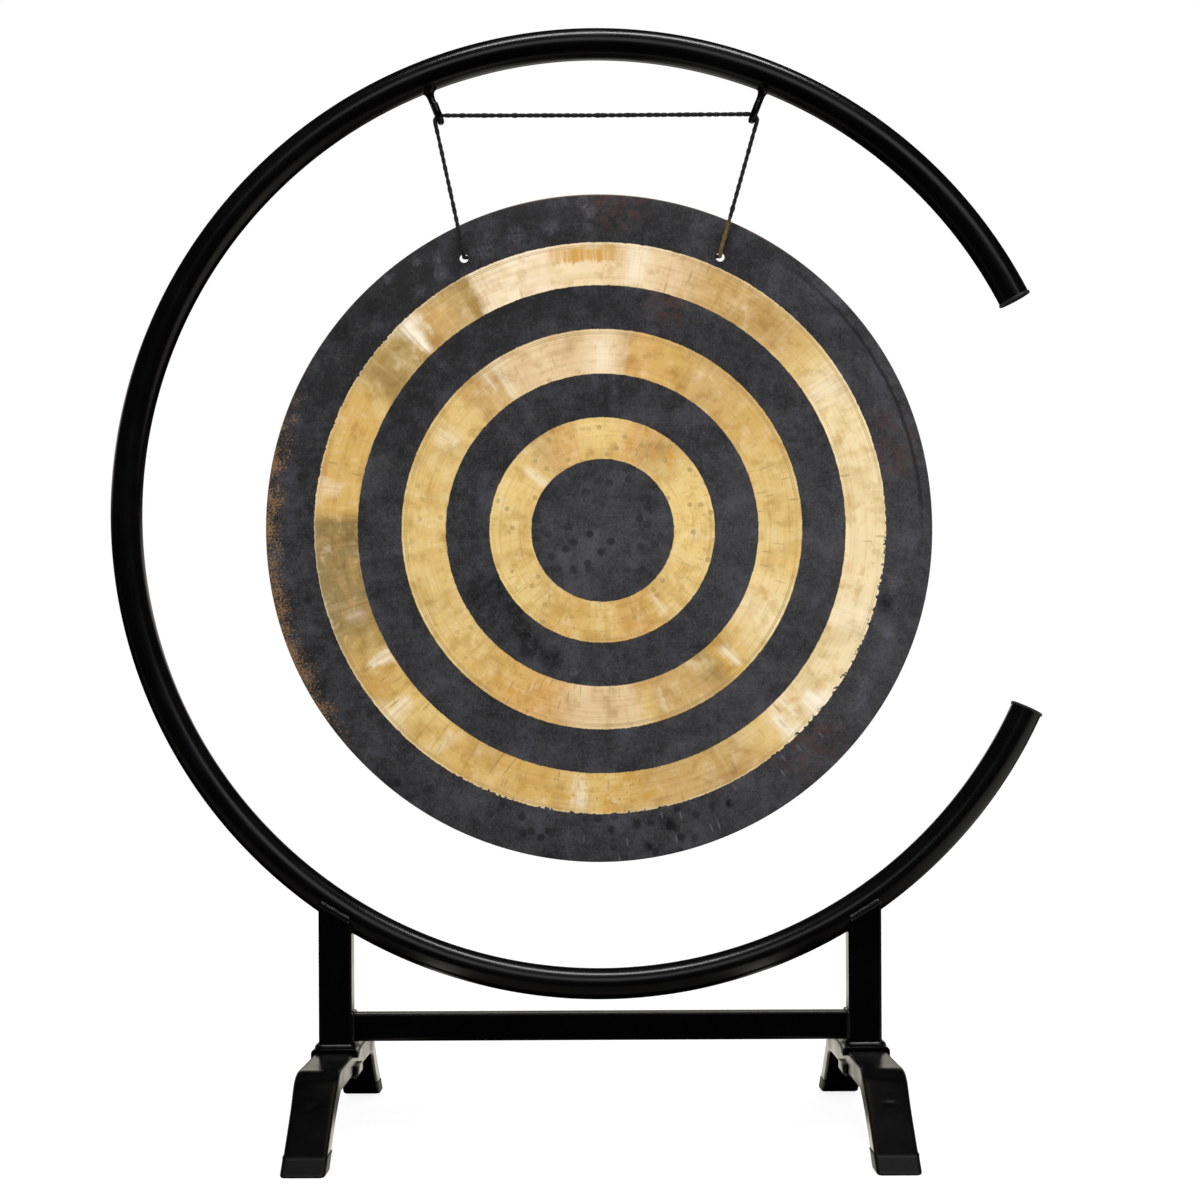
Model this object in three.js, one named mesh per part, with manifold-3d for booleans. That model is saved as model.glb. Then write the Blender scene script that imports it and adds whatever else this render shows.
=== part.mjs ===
// Black steel gong stand with its gong on a cord. An open C-shaped tube ring stands on two
// square uprights, a cross bar and two arched legs with rubber boots.
// Millimetres, Z up, X to the right, the front at -Y. The origin is on the floor, under the
// middle of the stand's box.

import * as THREE from 'three';
import { mergeVertices } from 'three/addons/utils/BufferGeometryUtils.js';
import Module from 'manifold-3d';

const wasm = await Module();
wasm.setup();

// Fits and cuts
const fitGap = 0.3;
const cutOverrun = 30;

// Ring
const ringRadius = 429;
const ringTubeDiameter = 28.6;
const ringWall = 2;
const ringAboveBar = 10.7;
const mouthUpperAngle = 27.2;
const mouthLowerAngle = 24.9;
const ringSteps = 64;
const ringSides = 16;

// End caps of the ring
const capLip = 1;
const capThickness = 2.5;
const capRounding = 0.8;
const plugLength = 12;
const plugPlay = 0.5;
const plugNose = 1.5;

// Hooks
const hookRodDiameter = 6;
const hookDrop = 33.7;
const hookMouth = 10;
const hookTipRise = 18.5;
const hookTipLean = 2;
const hookAngle = 21.6;
const hookWeldLeg = 4;
const hookSides = 10;
const hookSteps = 26;

// Uprights
const uprightWidth = 30;
const uprightWall = 2;
const uprightCorner = 3;
const uprightSpacing = 481;
const copeAngle = 31;
const copeBelowCentreline = 9.4;

// Cross bar
const barWidth = 25;
const barWall = 2;
const barCorner = 2.5;
const barAboveSaddle = 6;

// Legs
const legWidth = 36;
const legThickness = 20;
const legWall = 2;
const legCorner = 2.5;
const legTopHeight = 71.7;
const legSlope = 33;
const legBendRadius = 30;
const legBendReach = 156.5;
const bendSteps = 6;
const cornerSteps = 2;

// Saddles and clamp channels
const channelPlate = 3;
const channelLength = 44;
const channelCorner = 4;
const saddleDepth = 8;
const clampDepth = 11;

// Boots
const bootWall = 1.2;
const bootSole = 3;
const bootHeight = 14.7;
const bootToeTrim = 1.5;

// Clamping bolts
const boltDiameter = 8;
const boltSides = 16;
const boltHeadFlats = 13;
const boltHeadHeight = 5.3;
const boltThreadPastNut = 3;
const washerDiameter = 16;
const washerThickness = 1.6;
const nutHeight = 6.5;

// Gong
const gongDiameter = 609;
const gongThickness = 1.5;
const gongBelowRing = 13.4;
const gongShift = 1.2;
const gongHoleDiameter = 8;
const gongHoleInset = 32.34;
const gongHoleAngle = 25.56;
const gongHoleShift = -4.2;
const rimCurlDepth = 4.5;
const rimCurlWidth = 26;
const rimCurlSteps = 5;
const gongSegments = 72;

// Cord
const cordDiameter = 3.6;
const cordSides = 8;
const cordStepsPerSpan = 2;
const knotLength = 14;
const knotDiameter = 8.6;
const knotSteps = 8;
const knotSides = 12;

// Sizes that follow from the ones above
const ringTubeRadius = ringTubeDiameter / 2;
const ringBoreRadius = ringTubeRadius - ringWall;
const rodRadius = hookRodDiameter / 2;
const hookBendRadius = (hookMouth + hookRodDiameter) / 2;
const seatDepth = -hookBendRadius;
const uprightOffset = uprightSpacing / 2;
const legMiddleHeight = legTopHeight - legThickness / 2;
const legUndersideHeight = legTopHeight - legThickness;
const saddleTop = legTopHeight + fitGap + channelPlate;
const clampUnderside = legUndersideHeight - fitGap - channelPlate;
const channelInnerWidth = legWidth + 2 * fitGap;
const boltHoleDiameter = boltDiameter + 2 * fitGap;
const barTop = saddleTop + barAboveSaddle + barWidth;
const ringCentreHeight = barTop + ringAboveBar + ringTubeRadius + ringRadius;
const gongRadius = gongDiameter / 2;
const gongCentreHeight = ringCentreHeight - gongBelowRing;

// Materials
function satinBlackPaint() {
  return new THREE.MeshStandardMaterial({ color: 0x101011, roughness: 0.42, metalness: 0.1 });
}

function blackPlastic() {
  return new THREE.MeshStandardMaterial({ color: 0x131314, roughness: 0.5, metalness: 0 });
}

function darkRubber() {
  return new THREE.MeshStandardMaterial({ color: 0x1d1d1e, roughness: 0.8, metalness: 0 });
}

function zincPlate() {
  return new THREE.MeshStandardMaterial({ color: 0xb4b6b8, roughness: 0.35, metalness: 1 });
}

function gongBronze() {
  return new THREE.MeshStandardMaterial({ color: 0x8a6a35, roughness: 0.4, metalness: 1 });
}

function blackFibre() {
  return new THREE.MeshStandardMaterial({ color: 0x141312, roughness: 0.9, metalness: 0 });
}

// Outlines
function regularPolygon(radius, sides) {
  const points = [];
  for (let i = 0; i < sides; i += 1) {
    const angle = (i * 2 * Math.PI) / sides;
    points.push(new THREE.Vector2(radius * Math.cos(angle), radius * Math.sin(angle)));
  }
  return points;
}

function roundedSquare(width, radius) {
  const points = [];
  const reach = width / 2 - radius;
  for (let corner = 0; corner < 4; corner += 1) {
    const start = (corner * Math.PI) / 2;
    const x = reach * Math.SQRT2 * Math.cos(start + Math.PI / 4);
    const y = reach * Math.SQRT2 * Math.sin(start + Math.PI / 4);
    for (let i = 0; i <= cornerSteps; i += 1) {
      const angle = start + (i * Math.PI) / 2 / cornerSteps;
      points.push(new THREE.Vector2(x + radius * Math.cos(angle), y + radius * Math.sin(angle)));
    }
  }
  return points;
}

function hollowSection(outer, inner) {
  const section = new THREE.Shape(outer);
  section.holes.push(new THREE.Path(inner));
  return section;
}

function squareTubeSection(width, wall, corner) {
  const inner = roundedSquare(width - 2 * wall, corner - wall / 2);
  return hollowSection(roundedSquare(width, corner), inner);
}

// Solids
function solidOf(geometry) {
  const plain = geometry.clone();
  plain.deleteAttribute('normal');
  plain.deleteAttribute('uv');
  const merged = mergeVertices(plain);
  return new wasm.Manifold(
    new wasm.Mesh({
      numProp: 3,
      vertProperties: merged.attributes.position.array,
      triVerts: merged.index.array,
    })
  );
}

function geometryOf(solid) {
  const mesh = solid.getMesh();
  const geometry = new THREE.BufferGeometry();
  geometry.setAttribute('position', new THREE.BufferAttribute(mesh.vertProperties, 3));
  geometry.setIndex(new THREE.BufferAttribute(mesh.triVerts, 1));
  geometry.computeVertexNormals();
  return geometry;
}

function straightTube(section, length) {
  return new THREE.ExtrudeGeometry(section, { depth: length, bevelEnabled: false });
}

function sweptTube(section, path, steps) {
  return new THREE.ExtrudeGeometry(section, { steps, extrudePath: path, bevelEnabled: false });
}

function uprightCylinder(diameter, bottom, top, sides) {
  const cylinder = new THREE.CylinderGeometry(diameter / 2, diameter / 2, top - bottom, sides);
  cylinder.rotateX(Math.PI / 2);
  cylinder.translate(0, 0, (top + bottom) / 2);
  return cylinder;
}

function addPiece(parent, name, geometry, material) {
  const piece = new THREE.Mesh(geometry, material);
  piece.name = name;
  parent.add(piece);
  return piece;
}

// Ring
class RingArc extends THREE.Curve {
  getPoint(t) {
    const start = THREE.MathUtils.degToRad(mouthUpperAngle);
    const end = THREE.MathUtils.degToRad(360 - mouthLowerAngle);
    const angle = start + t * (end - start);
    const height = ringCentreHeight + ringRadius * Math.sin(angle);
    return new THREE.Vector3(ringRadius * Math.cos(angle), 0, height);
  }
}

function ringBlank(grow) {
  const section = new THREE.Shape(regularPolygon(ringTubeRadius + grow, ringSides));
  return solidOf(sweptTube(section, new RingArc(), ringSteps));
}

function ringTube() {
  const outer = regularPolygon(ringTubeRadius, ringSides);
  const inner = regularPolygon(ringBoreRadius, ringSides);
  return sweptTube(hollowSection(outer, inner), new RingArc(), ringSteps);
}

// A push-in cap: a rounded lip outside the tube and a plug with a tapered nose in its bore
function ringCap() {
  const lip = ringTubeRadius + capLip;
  const plug = ringBoreRadius - plugPlay;
  const profile = [
    [0, -plugLength],
    [plug - plugNose, -plugLength],
    [plug, -plugLength + plugNose],
    [plug, fitGap],
    [lip, fitGap],
    [lip, capThickness - capRounding],
    [lip - capRounding, capThickness],
    [0, capThickness],
  ];
  const points = profile.map(([x, y]) => new THREE.Vector2(x, y));
  return new THREE.LatheGeometry(points, ringSides);
}

function addRingCap(parent, name, angleDegrees, turn) {
  const angle = THREE.MathUtils.degToRad(angleDegrees);
  const outwards = new THREE.Vector3(Math.cos(angle), 0, Math.sin(angle));
  const along = new THREE.Vector3(-Math.sin(angle) * turn, 0, Math.cos(angle) * turn);
  const across = new THREE.Vector3().crossVectors(outwards, along);
  const cap = addPiece(parent, name, ringCap(), blackPlastic());
  cap.setRotationFromMatrix(new THREE.Matrix4().makeBasis(outwards, along, across));
  cap.position.set(ringRadius * outwards.x, 0, ringCentreHeight + ringRadius * outwards.z);
}

// Hooks
const hookUnderside = ringRadius - ringTubeRadius - hookDrop;
const hookBendCentre = hookUnderside + rodRadius + hookBendRadius;

// A J in the plane through the ring's centre: a straight shank, a half turn to the front, a short tip
class HookLine extends THREE.Curve {
  constructor(side, lean) {
    super();
    this.side = side;
    this.lean = lean;
    this.shank = ringRadius - hookBendCentre;
    this.bend = Math.PI * hookBendRadius;
    this.tip = hookTipRise - rodRadius - hookBendRadius;
  }

  getPoint(t) {
    const run = t * (this.shank + this.bend + this.tip);
    const turned = THREE.MathUtils.clamp((run - this.shank) / hookBendRadius, 0, Math.PI);
    const beyond = Math.max(run - this.shank - this.bend, 0);
    const before = Math.max(this.shank - run, 0);
    const radial = hookBendCentre + before + beyond - hookBendRadius * Math.sin(turned);
    const forward = hookBendRadius * (1 - Math.cos(turned));
    const inwards = (this.lean * Math.max(run - this.shank, 0)) / (this.bend + this.tip);
    const angle = THREE.MathUtils.degToRad(hookAngle);
    const x = radial * Math.sin(angle) - inwards * Math.cos(angle);
    const height = radial * Math.cos(angle) + inwards * Math.sin(angle);
    return new THREE.Vector3(this.side * x, -forward, ringCentreHeight + height);
  }
}

// The weld: a collar that widens from the rod to the ring's underside and runs on into the ring
function hookWeld(side) {
  const profile = [
    [0, -hookWeldLeg],
    [rodRadius, -hookWeldLeg],
    [rodRadius + hookWeldLeg, 0],
    [rodRadius + hookWeldLeg, hookWeldLeg],
    [0, hookWeldLeg],
  ];
  const points = profile.map(([x, y]) => new THREE.Vector2(x, y));
  const collar = new THREE.LatheGeometry(points, hookSides);
  collar.rotateX(Math.PI / 2);
  collar.translate(0, 0, ringRadius - ringTubeRadius);
  collar.rotateY(side * THREE.MathUtils.degToRad(hookAngle));
  collar.translate(0, 0, ringCentreHeight);
  return collar;
}

function hook(side, lean, blank) {
  const section = new THREE.Shape(regularPolygon(rodRadius, hookSides));
  const rod = solidOf(sweptTube(section, new HookLine(side, lean), hookSteps));
  return geometryOf(rod.add(solidOf(hookWeld(side))).subtract(blank));
}

// Uprights: square tubes mitred at the top and coped so that their walls straddle the ring
function upright(side, blank) {
  const bottom = saddleTop + fitGap;
  const centreline = ringCentreHeight - Math.sqrt(ringRadius ** 2 - uprightOffset ** 2);
  const mitreHeight = centreline - copeBelowCentreline;
  const section = squareTubeSection(uprightWidth, uprightWall, uprightCorner);
  const tube = straightTube(section, centreline + uprightWidth - bottom);
  tube.translate(side * uprightOffset, 0, bottom);
  const mitre = new THREE.BoxGeometry(3 * uprightWidth, 2 * uprightWidth, 3 * uprightWidth);
  mitre.translate(0, 0, (3 * uprightWidth) / 2);
  mitre.rotateY(-side * THREE.MathUtils.degToRad(copeAngle));
  mitre.translate(side * uprightOffset, 0, mitreHeight);
  return geometryOf(solidOf(tube).subtract(solidOf(mitre)).subtract(blank));
}

function crossBar() {
  const length = uprightSpacing - uprightWidth - 2 * fitGap;
  const bar = straightTube(squareTubeSection(barWidth, barWall, barCorner), length);
  bar.rotateY(Math.PI / 2);
  bar.translate(-length / 2, 0, barTop - barWidth / 2);
  return bar;
}

// Saddles and clamp channels: plates with both long sides turned over the leg
function channel(depth) {
  const outer = channelInnerWidth / 2 + channelPlate;
  const inner = channelInnerWidth / 2;
  const section = new THREE.Shape();
  section.moveTo(-outer, -depth);
  section.lineTo(-outer, -channelCorner);
  for (const [side, first] of [[-1, Math.PI], [1, Math.PI / 2]]) {
    for (let i = 0; i <= bendSteps; i += 1) {
      const angle = first - (i * Math.PI) / 2 / bendSteps;
      const x = side * (outer - channelCorner) + channelCorner * Math.cos(angle);
      section.lineTo(x, channelCorner * Math.sin(angle) - channelCorner);
    }
  }
  section.lineTo(outer, -depth);
  section.lineTo(inner, -depth);
  section.lineTo(inner, -channelPlate);
  section.lineTo(-inner, -channelPlate);
  section.lineTo(-inner, -depth);
  const plate = straightTube(section, channelLength);
  plate.rotateX(Math.PI / 2);
  plate.translate(0, channelLength / 2, 0);
  return plate;
}

function saddle() {
  const plate = channel(saddleDepth);
  plate.translate(0, 0, saddleTop);
  const hole = uprightCylinder(boltHoleDiameter, legTopHeight, saddleTop + cutOverrun, boltSides);
  return geometryOf(solidOf(plate).subtract(solidOf(hole)));
}

function clampChannel() {
  const plate = channel(clampDepth);
  plate.rotateY(Math.PI);
  plate.translate(0, 0, clampUnderside);
  const top = legUndersideHeight;
  const hole = uprightCylinder(boltHoleDiameter, clampUnderside - cutOverrun, top, boltSides);
  return geometryOf(solidOf(plate).subtract(solidOf(hole)));
}

// Legs: a rectangular tube bent down at both ends. A line of the arch lies at one offset
// from the tube's middle, and runs from the back foot to the front foot.
function archLine(offset) {
  const slope = THREE.MathUtils.degToRad(legSlope);
  const bendStart = legBendReach - legBendRadius * Math.tan(slope / 2);
  const middleRadius = legBendRadius - legThickness / 2;
  const centreHeight = legMiddleHeight - middleRadius;
  const radius = middleRadius + offset;
  const footRun = (legTopHeight + cutOverrun) / Math.sin(slope);
  const half = [];
  for (let i = 0; i <= bendSteps; i += 1) {
    const angle = (i * slope) / bendSteps;
    const height = centreHeight + radius * Math.cos(angle);
    half.push(new THREE.Vector2(bendStart + radius * Math.sin(angle), height));
  }
  const last = half[half.length - 1];
  const footX = last.x + footRun * Math.cos(slope);
  half.push(new THREE.Vector2(footX, last.y - footRun * Math.sin(slope)));
  const mirrored = half.map((point) => new THREE.Vector2(-point.x, point.y)).reverse();
  return mirrored.concat(half);
}

function legBlank(grow) {
  const reach = legThickness / 2 + grow;
  const corner = legCorner + grow;
  const outline = new THREE.Shape(archLine(-reach).concat(archLine(reach).reverse()));
  const geometry = new THREE.ExtrudeGeometry(outline, {
    depth: legWidth + 2 * grow - 2 * corner,
    bevelThickness: corner,
    bevelSize: corner,
    bevelOffset: -corner,
    bevelSegments: cornerSteps,
  });
  geometry.translate(0, 0, corner - legWidth / 2 - grow);
  turnAcross(geometry);
  return solidOf(geometry);
}

function turnAcross(geometry) {
  const alongY = new THREE.Vector3(0, 1, 0);
  const alongZ = new THREE.Vector3(0, 0, 1);
  const alongX = new THREE.Vector3(1, 0, 0);
  geometry.applyMatrix4(new THREE.Matrix4().makeBasis(alongY, alongZ, alongX));
}

function legBore() {
  const reach = legThickness / 2 - legWall;
  const outline = new THREE.Shape(archLine(-reach).concat(archLine(reach).reverse()));
  const bore = straightTube(outline, legWidth - 2 * legWall);
  bore.translate(0, 0, legWall - legWidth / 2);
  turnAcross(bore);
  return solidOf(bore);
}

function slabBelow(height) {
  const reach = archLine(legThickness).at(-1).x;
  const slab = new THREE.BoxGeometry(2 * legWidth, 2 * reach, 2 * legTopHeight);
  slab.translate(0, 0, height - legTopHeight);
  return solidOf(slab);
}

function leg() {
  const boltTop = legTopHeight + cutOverrun;
  const boltHole = uprightCylinder(boltHoleDiameter, 0, boltTop, boltSides);
  const cut = legBore().add(solidOf(boltHole)).add(slabBelow(bootSole + fitGap));
  return geometryOf(legBlank(0).subtract(cut));
}

// Boots: a sleeve over the leg's end with a level rim, a flat sole and a blunt toe
function footReach(offset, height) {
  const slope = THREE.MathUtils.degToRad(legSlope);
  const topLine = legBendReach + (legTopHeight - height) / Math.tan(slope);
  return topLine + (offset - legThickness / 2) / Math.sin(slope);
}

function boot(side) {
  const skin = fitGap + bootWall;
  const toe = footReach(legThickness / 2 + skin, 0);
  const region = new THREE.BoxGeometry(2 * legWidth, 2 * toe, 2 * bootHeight);
  region.translate(0, side * toe, 0);
  const toeCut = new THREE.BoxGeometry(2 * legWidth, 2 * bootHeight, 2 * bootHeight);
  toeCut.translate(0, side * (toe - bootToeTrim + bootHeight), 0);
  const cavity = legBlank(fitGap).subtract(slabBelow(bootSole));
  const sleeve = legBlank(skin).intersect(solidOf(region)).subtract(cavity);
  return geometryOf(sleeve.subtract(slabBelow(0)).subtract(solidOf(toeCut)));
}

// Clamping bolt, washer and nut
function hexagon(flats) {
  return regularPolygon(flats / Math.sqrt(3), 6);
}

function washer() {
  const outer = regularPolygon(washerDiameter / 2, boltSides);
  const inner = regularPolygon(boltHoleDiameter / 2, boltSides);
  const disc = straightTube(hollowSection(outer, inner), washerThickness);
  disc.translate(0, 0, clampUnderside - fitGap - washerThickness);
  return disc;
}

function clampingBolt() {
  const headTop = clampUnderside - 2 * fitGap - washerThickness;
  const tip = saddleTop + fitGap + nutHeight + boltThreadPastNut;
  const head = straightTube(new THREE.Shape(hexagon(boltHeadFlats)), boltHeadHeight);
  head.translate(0, 0, headTop - boltHeadHeight);
  const shank = uprightCylinder(boltDiameter, headTop - boltHeadHeight / 2, tip, boltSides);
  return geometryOf(solidOf(head).add(solidOf(shank)));
}

function weldNut() {
  const inner = regularPolygon(boltHoleDiameter / 2, boltSides);
  const nut = straightTube(hollowSection(hexagon(boltHeadFlats), inner), nutHeight);
  nut.translate(0, 0, saddleTop + fitGap);
  return nut;
}

function addFoot(parent, sideName, side) {
  const foot = new THREE.Group();
  foot.position.x = side * uprightOffset;
  parent.add(foot);
  addPiece(foot, `saddle_${sideName}`, saddle(), satinBlackPaint());
  addPiece(foot, `clamp_channel_${sideName}`, clampChannel(), satinBlackPaint());
  addPiece(foot, `leg_${sideName}`, leg(), satinBlackPaint());
  addPiece(foot, `foot_boot_front_${sideName}`, boot(-1), darkRubber());
  addPiece(foot, `foot_boot_back_${sideName}`, boot(1), darkRubber());
  addPiece(foot, `leg_bolt_${sideName}`, clampingBolt(), zincPlate());
  addPiece(foot, `bolt_washer_${sideName}`, washer(), zincPlate());
  addPiece(foot, `weld_nut_${sideName}`, weldNut(), zincPlate());
}

// Gong: a thin flat disc whose rim curls to the back, with two holes for the cord
function gongDisc() {
  const flatRadius = gongRadius - rimCurlWidth;
  const front = [[0, -gongThickness / 2]];
  for (let i = 0; i <= rimCurlSteps; i += 1) {
    const share = i / rimCurlSteps;
    front.push([flatRadius + rimCurlWidth * share, rimCurlDepth * share ** 2 - gongThickness / 2]);
  }
  const back = front.map(([x, y]) => [x, y + gongThickness]).reverse();
  const points = front.concat(back).map(([x, y]) => new THREE.Vector2(x, y));
  const disc = new THREE.LatheGeometry(points, gongSegments);
  disc.translate(gongShift, seatDepth, gongCentreHeight);
  const angle = THREE.MathUtils.degToRad(gongHoleAngle);
  const spread = (gongRadius - gongHoleInset) * Math.sin(angle);
  const rise = (gongRadius - gongHoleInset) * Math.cos(angle);
  let solid = solidOf(disc);
  for (const side of [-1, 1]) {
    const hole = uprightCylinder(gongHoleDiameter, -gongThickness, gongThickness, boltSides);
    hole.rotateX(Math.PI / 2);
    hole.translate(gongHoleShift + side * spread, seatDepth, gongCentreHeight + rise);
    solid = solid.subtract(solidOf(hole));
  }
  return geometryOf(solid);
}

// Cord: the steps of a tube follow the points of its route and not its length
class CordRoute extends THREE.CatmullRomCurve3 {
  getUtoTmapping(share) {
    return share;
  }
}

function cordTube(points) {
  const route = new CordRoute(points.map((point) => new THREE.Vector3(...point)));
  const section = new THREE.Shape(regularPolygon(cordDiameter / 2, cordSides));
  return sweptTube(section, route, (points.length - 1) * cordStepsPerSpan);
}

// Over both hooks, from one side to the other
const bridgeRoute = [
  [-146.06, -8.03, 914.64],
  [-146.35, -8, 915.97],
  [-146.46, -8, 917.03],
  [-146.07, -8, 918.98],
  [-144.97, -8, 920.64],
  [-143.31, -8, 921.74],
  [-141.36, -8, 922.13],
  [-134, -8, 922.13],
  [-70, -8, 921.9],
  [0, -8, 921.7],
  [70, -8, 921.9],
  [134, -8, 922.13],
  [141.36, -8, 922.13],
  [143.31, -8, 921.74],
  [144.97, -8, 920.64],
  [146.07, -8, 918.98],
  [146.46, -8, 917.03],
  [146.27, -8, 915.6],
  [145.98, -8.03, 914.63],
];

// From a hook down in front of the gong, and into its hole
const dropRouteLeft = [
  [-145.88, -8.05, 913.76],
  [-139.9, -8.9, 886],
  [-130.3, -10.27, 841],
  [-121.05, -11.6, 797.5],
  [-120.75, -11.2, 795.4],
  [-120.65, -10.3, 794.1],
  [-120.6, -9.3, 793.5],
  [-120.6, -8.45, 793.45],
];
const dropRouteRight = [
  [145.74, -8.05, 913.77],
  [137.86, -8.9, 886],
  [125.09, -10.27, 841],
  [112.75, -11.6, 797.5],
  [112.45, -11.2, 795.4],
  [112.3, -10.3, 794.1],
  [112.2, -9.3, 793.5],
  [112.2, -8.45, 793.45],
];

// From a hole along the gong's back to the knot
const backRouteLeft = [
  [-120.6, -7.55, 793.45],
  [-120.6, -7, 793.45],
  [-120, -5.8, 793.45],
  [-118.6, -5, 793.45],
  [-115.4, -4.75, 793.45],
  [-88, -4.4, 793.45],
  [-48, -3.4, 793.45],
  [-11.5, -2.6, 793.45],
];
const backRouteRight = [
  [112.2, -7.55, 793.45],
  [112.2, -7, 793.45],
  [111.6, -5.8, 793.45],
  [110.2, -5, 793.45],
  [107, -4.75, 793.45],
  [80, -4.4, 793.45],
  [40, -3.4, 793.45],
  [3.1, -2.6, 793.45],
];
const knotPlace = [-4.2, -2.6, 793.45];

function cordKnot() {
  const points = [new THREE.Vector2(0, -knotLength / 2)];
  for (let i = 0; i <= knotSteps; i += 1) {
    const share = i / knotSteps;
    const swell = cordDiameter + (knotDiameter - cordDiameter) * Math.sin(Math.PI * share);
    points.push(new THREE.Vector2(swell / 2, knotLength * (share - 1 / 2)));
  }
  points.push(new THREE.Vector2(0, knotLength / 2));
  const knot = new THREE.LatheGeometry(points, knotSides);
  knot.rotateZ(Math.PI / 2);
  return knot;
}

// Assembly
const stand = new THREE.Group();
const blank = ringBlank(fitGap);

addPiece(stand, 'ring_tube', ringTube(), satinBlackPaint());
addRingCap(stand, 'ring_cap_upper', mouthUpperAngle, -1);
addRingCap(stand, 'ring_cap_lower', -mouthLowerAngle, 1);
addPiece(stand, 'hook_left', hook(-1, 0, blank), satinBlackPaint());
addPiece(stand, 'hook_right', hook(1, hookTipLean, blank), satinBlackPaint());
addPiece(stand, 'upright_left', upright(-1, blank), satinBlackPaint());
addPiece(stand, 'upright_right', upright(1, blank), satinBlackPaint());
addPiece(stand, 'crossbar', crossBar(), satinBlackPaint());
addFoot(stand, 'left', -1);
addFoot(stand, 'right', 1);
addPiece(stand, 'gong_disc', gongDisc(), gongBronze());

const standBox = new THREE.Box3().setFromObject(stand, true);

addPiece(stand, 'cord_bridge', cordTube(bridgeRoute), blackFibre());
addPiece(stand, 'cord_drop_left', cordTube(dropRouteLeft), blackFibre());
addPiece(stand, 'cord_drop_right', cordTube(dropRouteRight), blackFibre());
addPiece(stand, 'cord_back_left', cordTube(backRouteLeft), blackFibre());
addPiece(stand, 'cord_back_right', cordTube(backRouteRight), blackFibre());
addPiece(stand, 'cord_knot', cordKnot(), blackFibre()).position.set(...knotPlace);

stand.position.x = -(standBox.min.x + standBox.max.x) / 2;

const gongStand = new THREE.Group();
gongStand.add(stand);

export default gongStand;
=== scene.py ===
# Black steel gong stand with its gong on a cord, dressed for rendering.
# Z up, the front at -Y. Sizes are in millimetres and degrees; those of the camera, the studio,
# the materials and the dictionary of the cord are in metres.
import math
import bmesh
import bpy
import numpy as np
from mathutils import Matrix, Vector


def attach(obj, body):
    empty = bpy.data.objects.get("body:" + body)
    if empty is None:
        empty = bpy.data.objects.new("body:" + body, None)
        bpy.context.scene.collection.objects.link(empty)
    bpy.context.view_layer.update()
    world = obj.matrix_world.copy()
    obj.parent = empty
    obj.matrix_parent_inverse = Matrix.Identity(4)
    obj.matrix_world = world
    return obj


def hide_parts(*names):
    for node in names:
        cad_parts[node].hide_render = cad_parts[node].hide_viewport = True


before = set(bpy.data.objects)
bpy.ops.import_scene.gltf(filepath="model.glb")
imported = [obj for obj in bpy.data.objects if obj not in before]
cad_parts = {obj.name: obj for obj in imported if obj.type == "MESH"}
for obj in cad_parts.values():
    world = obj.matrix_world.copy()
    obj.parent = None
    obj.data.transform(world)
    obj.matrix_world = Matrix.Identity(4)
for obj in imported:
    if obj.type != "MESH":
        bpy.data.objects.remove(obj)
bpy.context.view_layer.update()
print("frame loaded", len(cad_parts), "nodes")

standX = 0.0197477                       # the middle of the uprights, in metres
backwards = np.array([0, 1.0, 0])
sides = ((-1, "Left"), (1, "Right"))


def mm(value):
    return np.asarray(value, float) / 1000.0


# From millimetres off the middle of the uprights to metres in the frame.
def placed(points):
    return mm(points) + np.array([standX, 0, 0])


def linked(name, data):
    made = bpy.data.objects.new(name, data)
    bpy.context.scene.collection.objects.link(made)
    return made


# Camera
camera = {"place": (0.0206, -2.236, 0.338), "lens": 73.5, "sensor": 36, "rise": 0.131,
          "roll": -0.27, "near": 0.05, "far": 60}
cameraData = bpy.data.cameras.new("studioCamera")
cameraData.lens = camera["lens"]
cameraData.sensor_width = camera["sensor"]
cameraData.shift_y = camera["rise"]
cameraData.clip_start = camera["near"]
cameraData.clip_end = camera["far"]
cameraObject = linked("studioCamera", cameraData)
level = Matrix.Rotation(math.radians(90), 4, "X")
rolled = Matrix.Rotation(math.radians(camera["roll"]), 4, "Z")
cameraObject.matrix_world = Matrix.Translation(Vector(camera["place"])) @ level @ rolled
bpy.context.scene.camera = cameraObject


# Shape tools
def unit(vectors):
    return vectors / np.linalg.norm(vectors, axis=-1, keepdims=True)


def fade(value, low, high):
    share = np.clip((value - low) / (high - low), 0, 1)
    return share * share * (3 - 2 * share)


def fullTurn(count):
    return np.linspace(0, 2 * math.pi, count, endpoint=False)


def quarter(count):
    return np.linspace(0, math.pi / 2, count)


def circle(radius, turn):
    return np.stack([radius * np.cos(turn), radius * np.sin(turn)], axis=-1)


# Part of a circle about (x, y), from one angle to the other.
def arc(x, y, radius, start, end, count):
    return np.array([x, y]) + circle(radius, np.radians(np.linspace(start, end, count)))


# A grid of points from three arrays of coordinates that fit each other.
def grid(x, y, z):
    return np.stack(np.broadcast_arrays(x, y, z), axis=-1)


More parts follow.
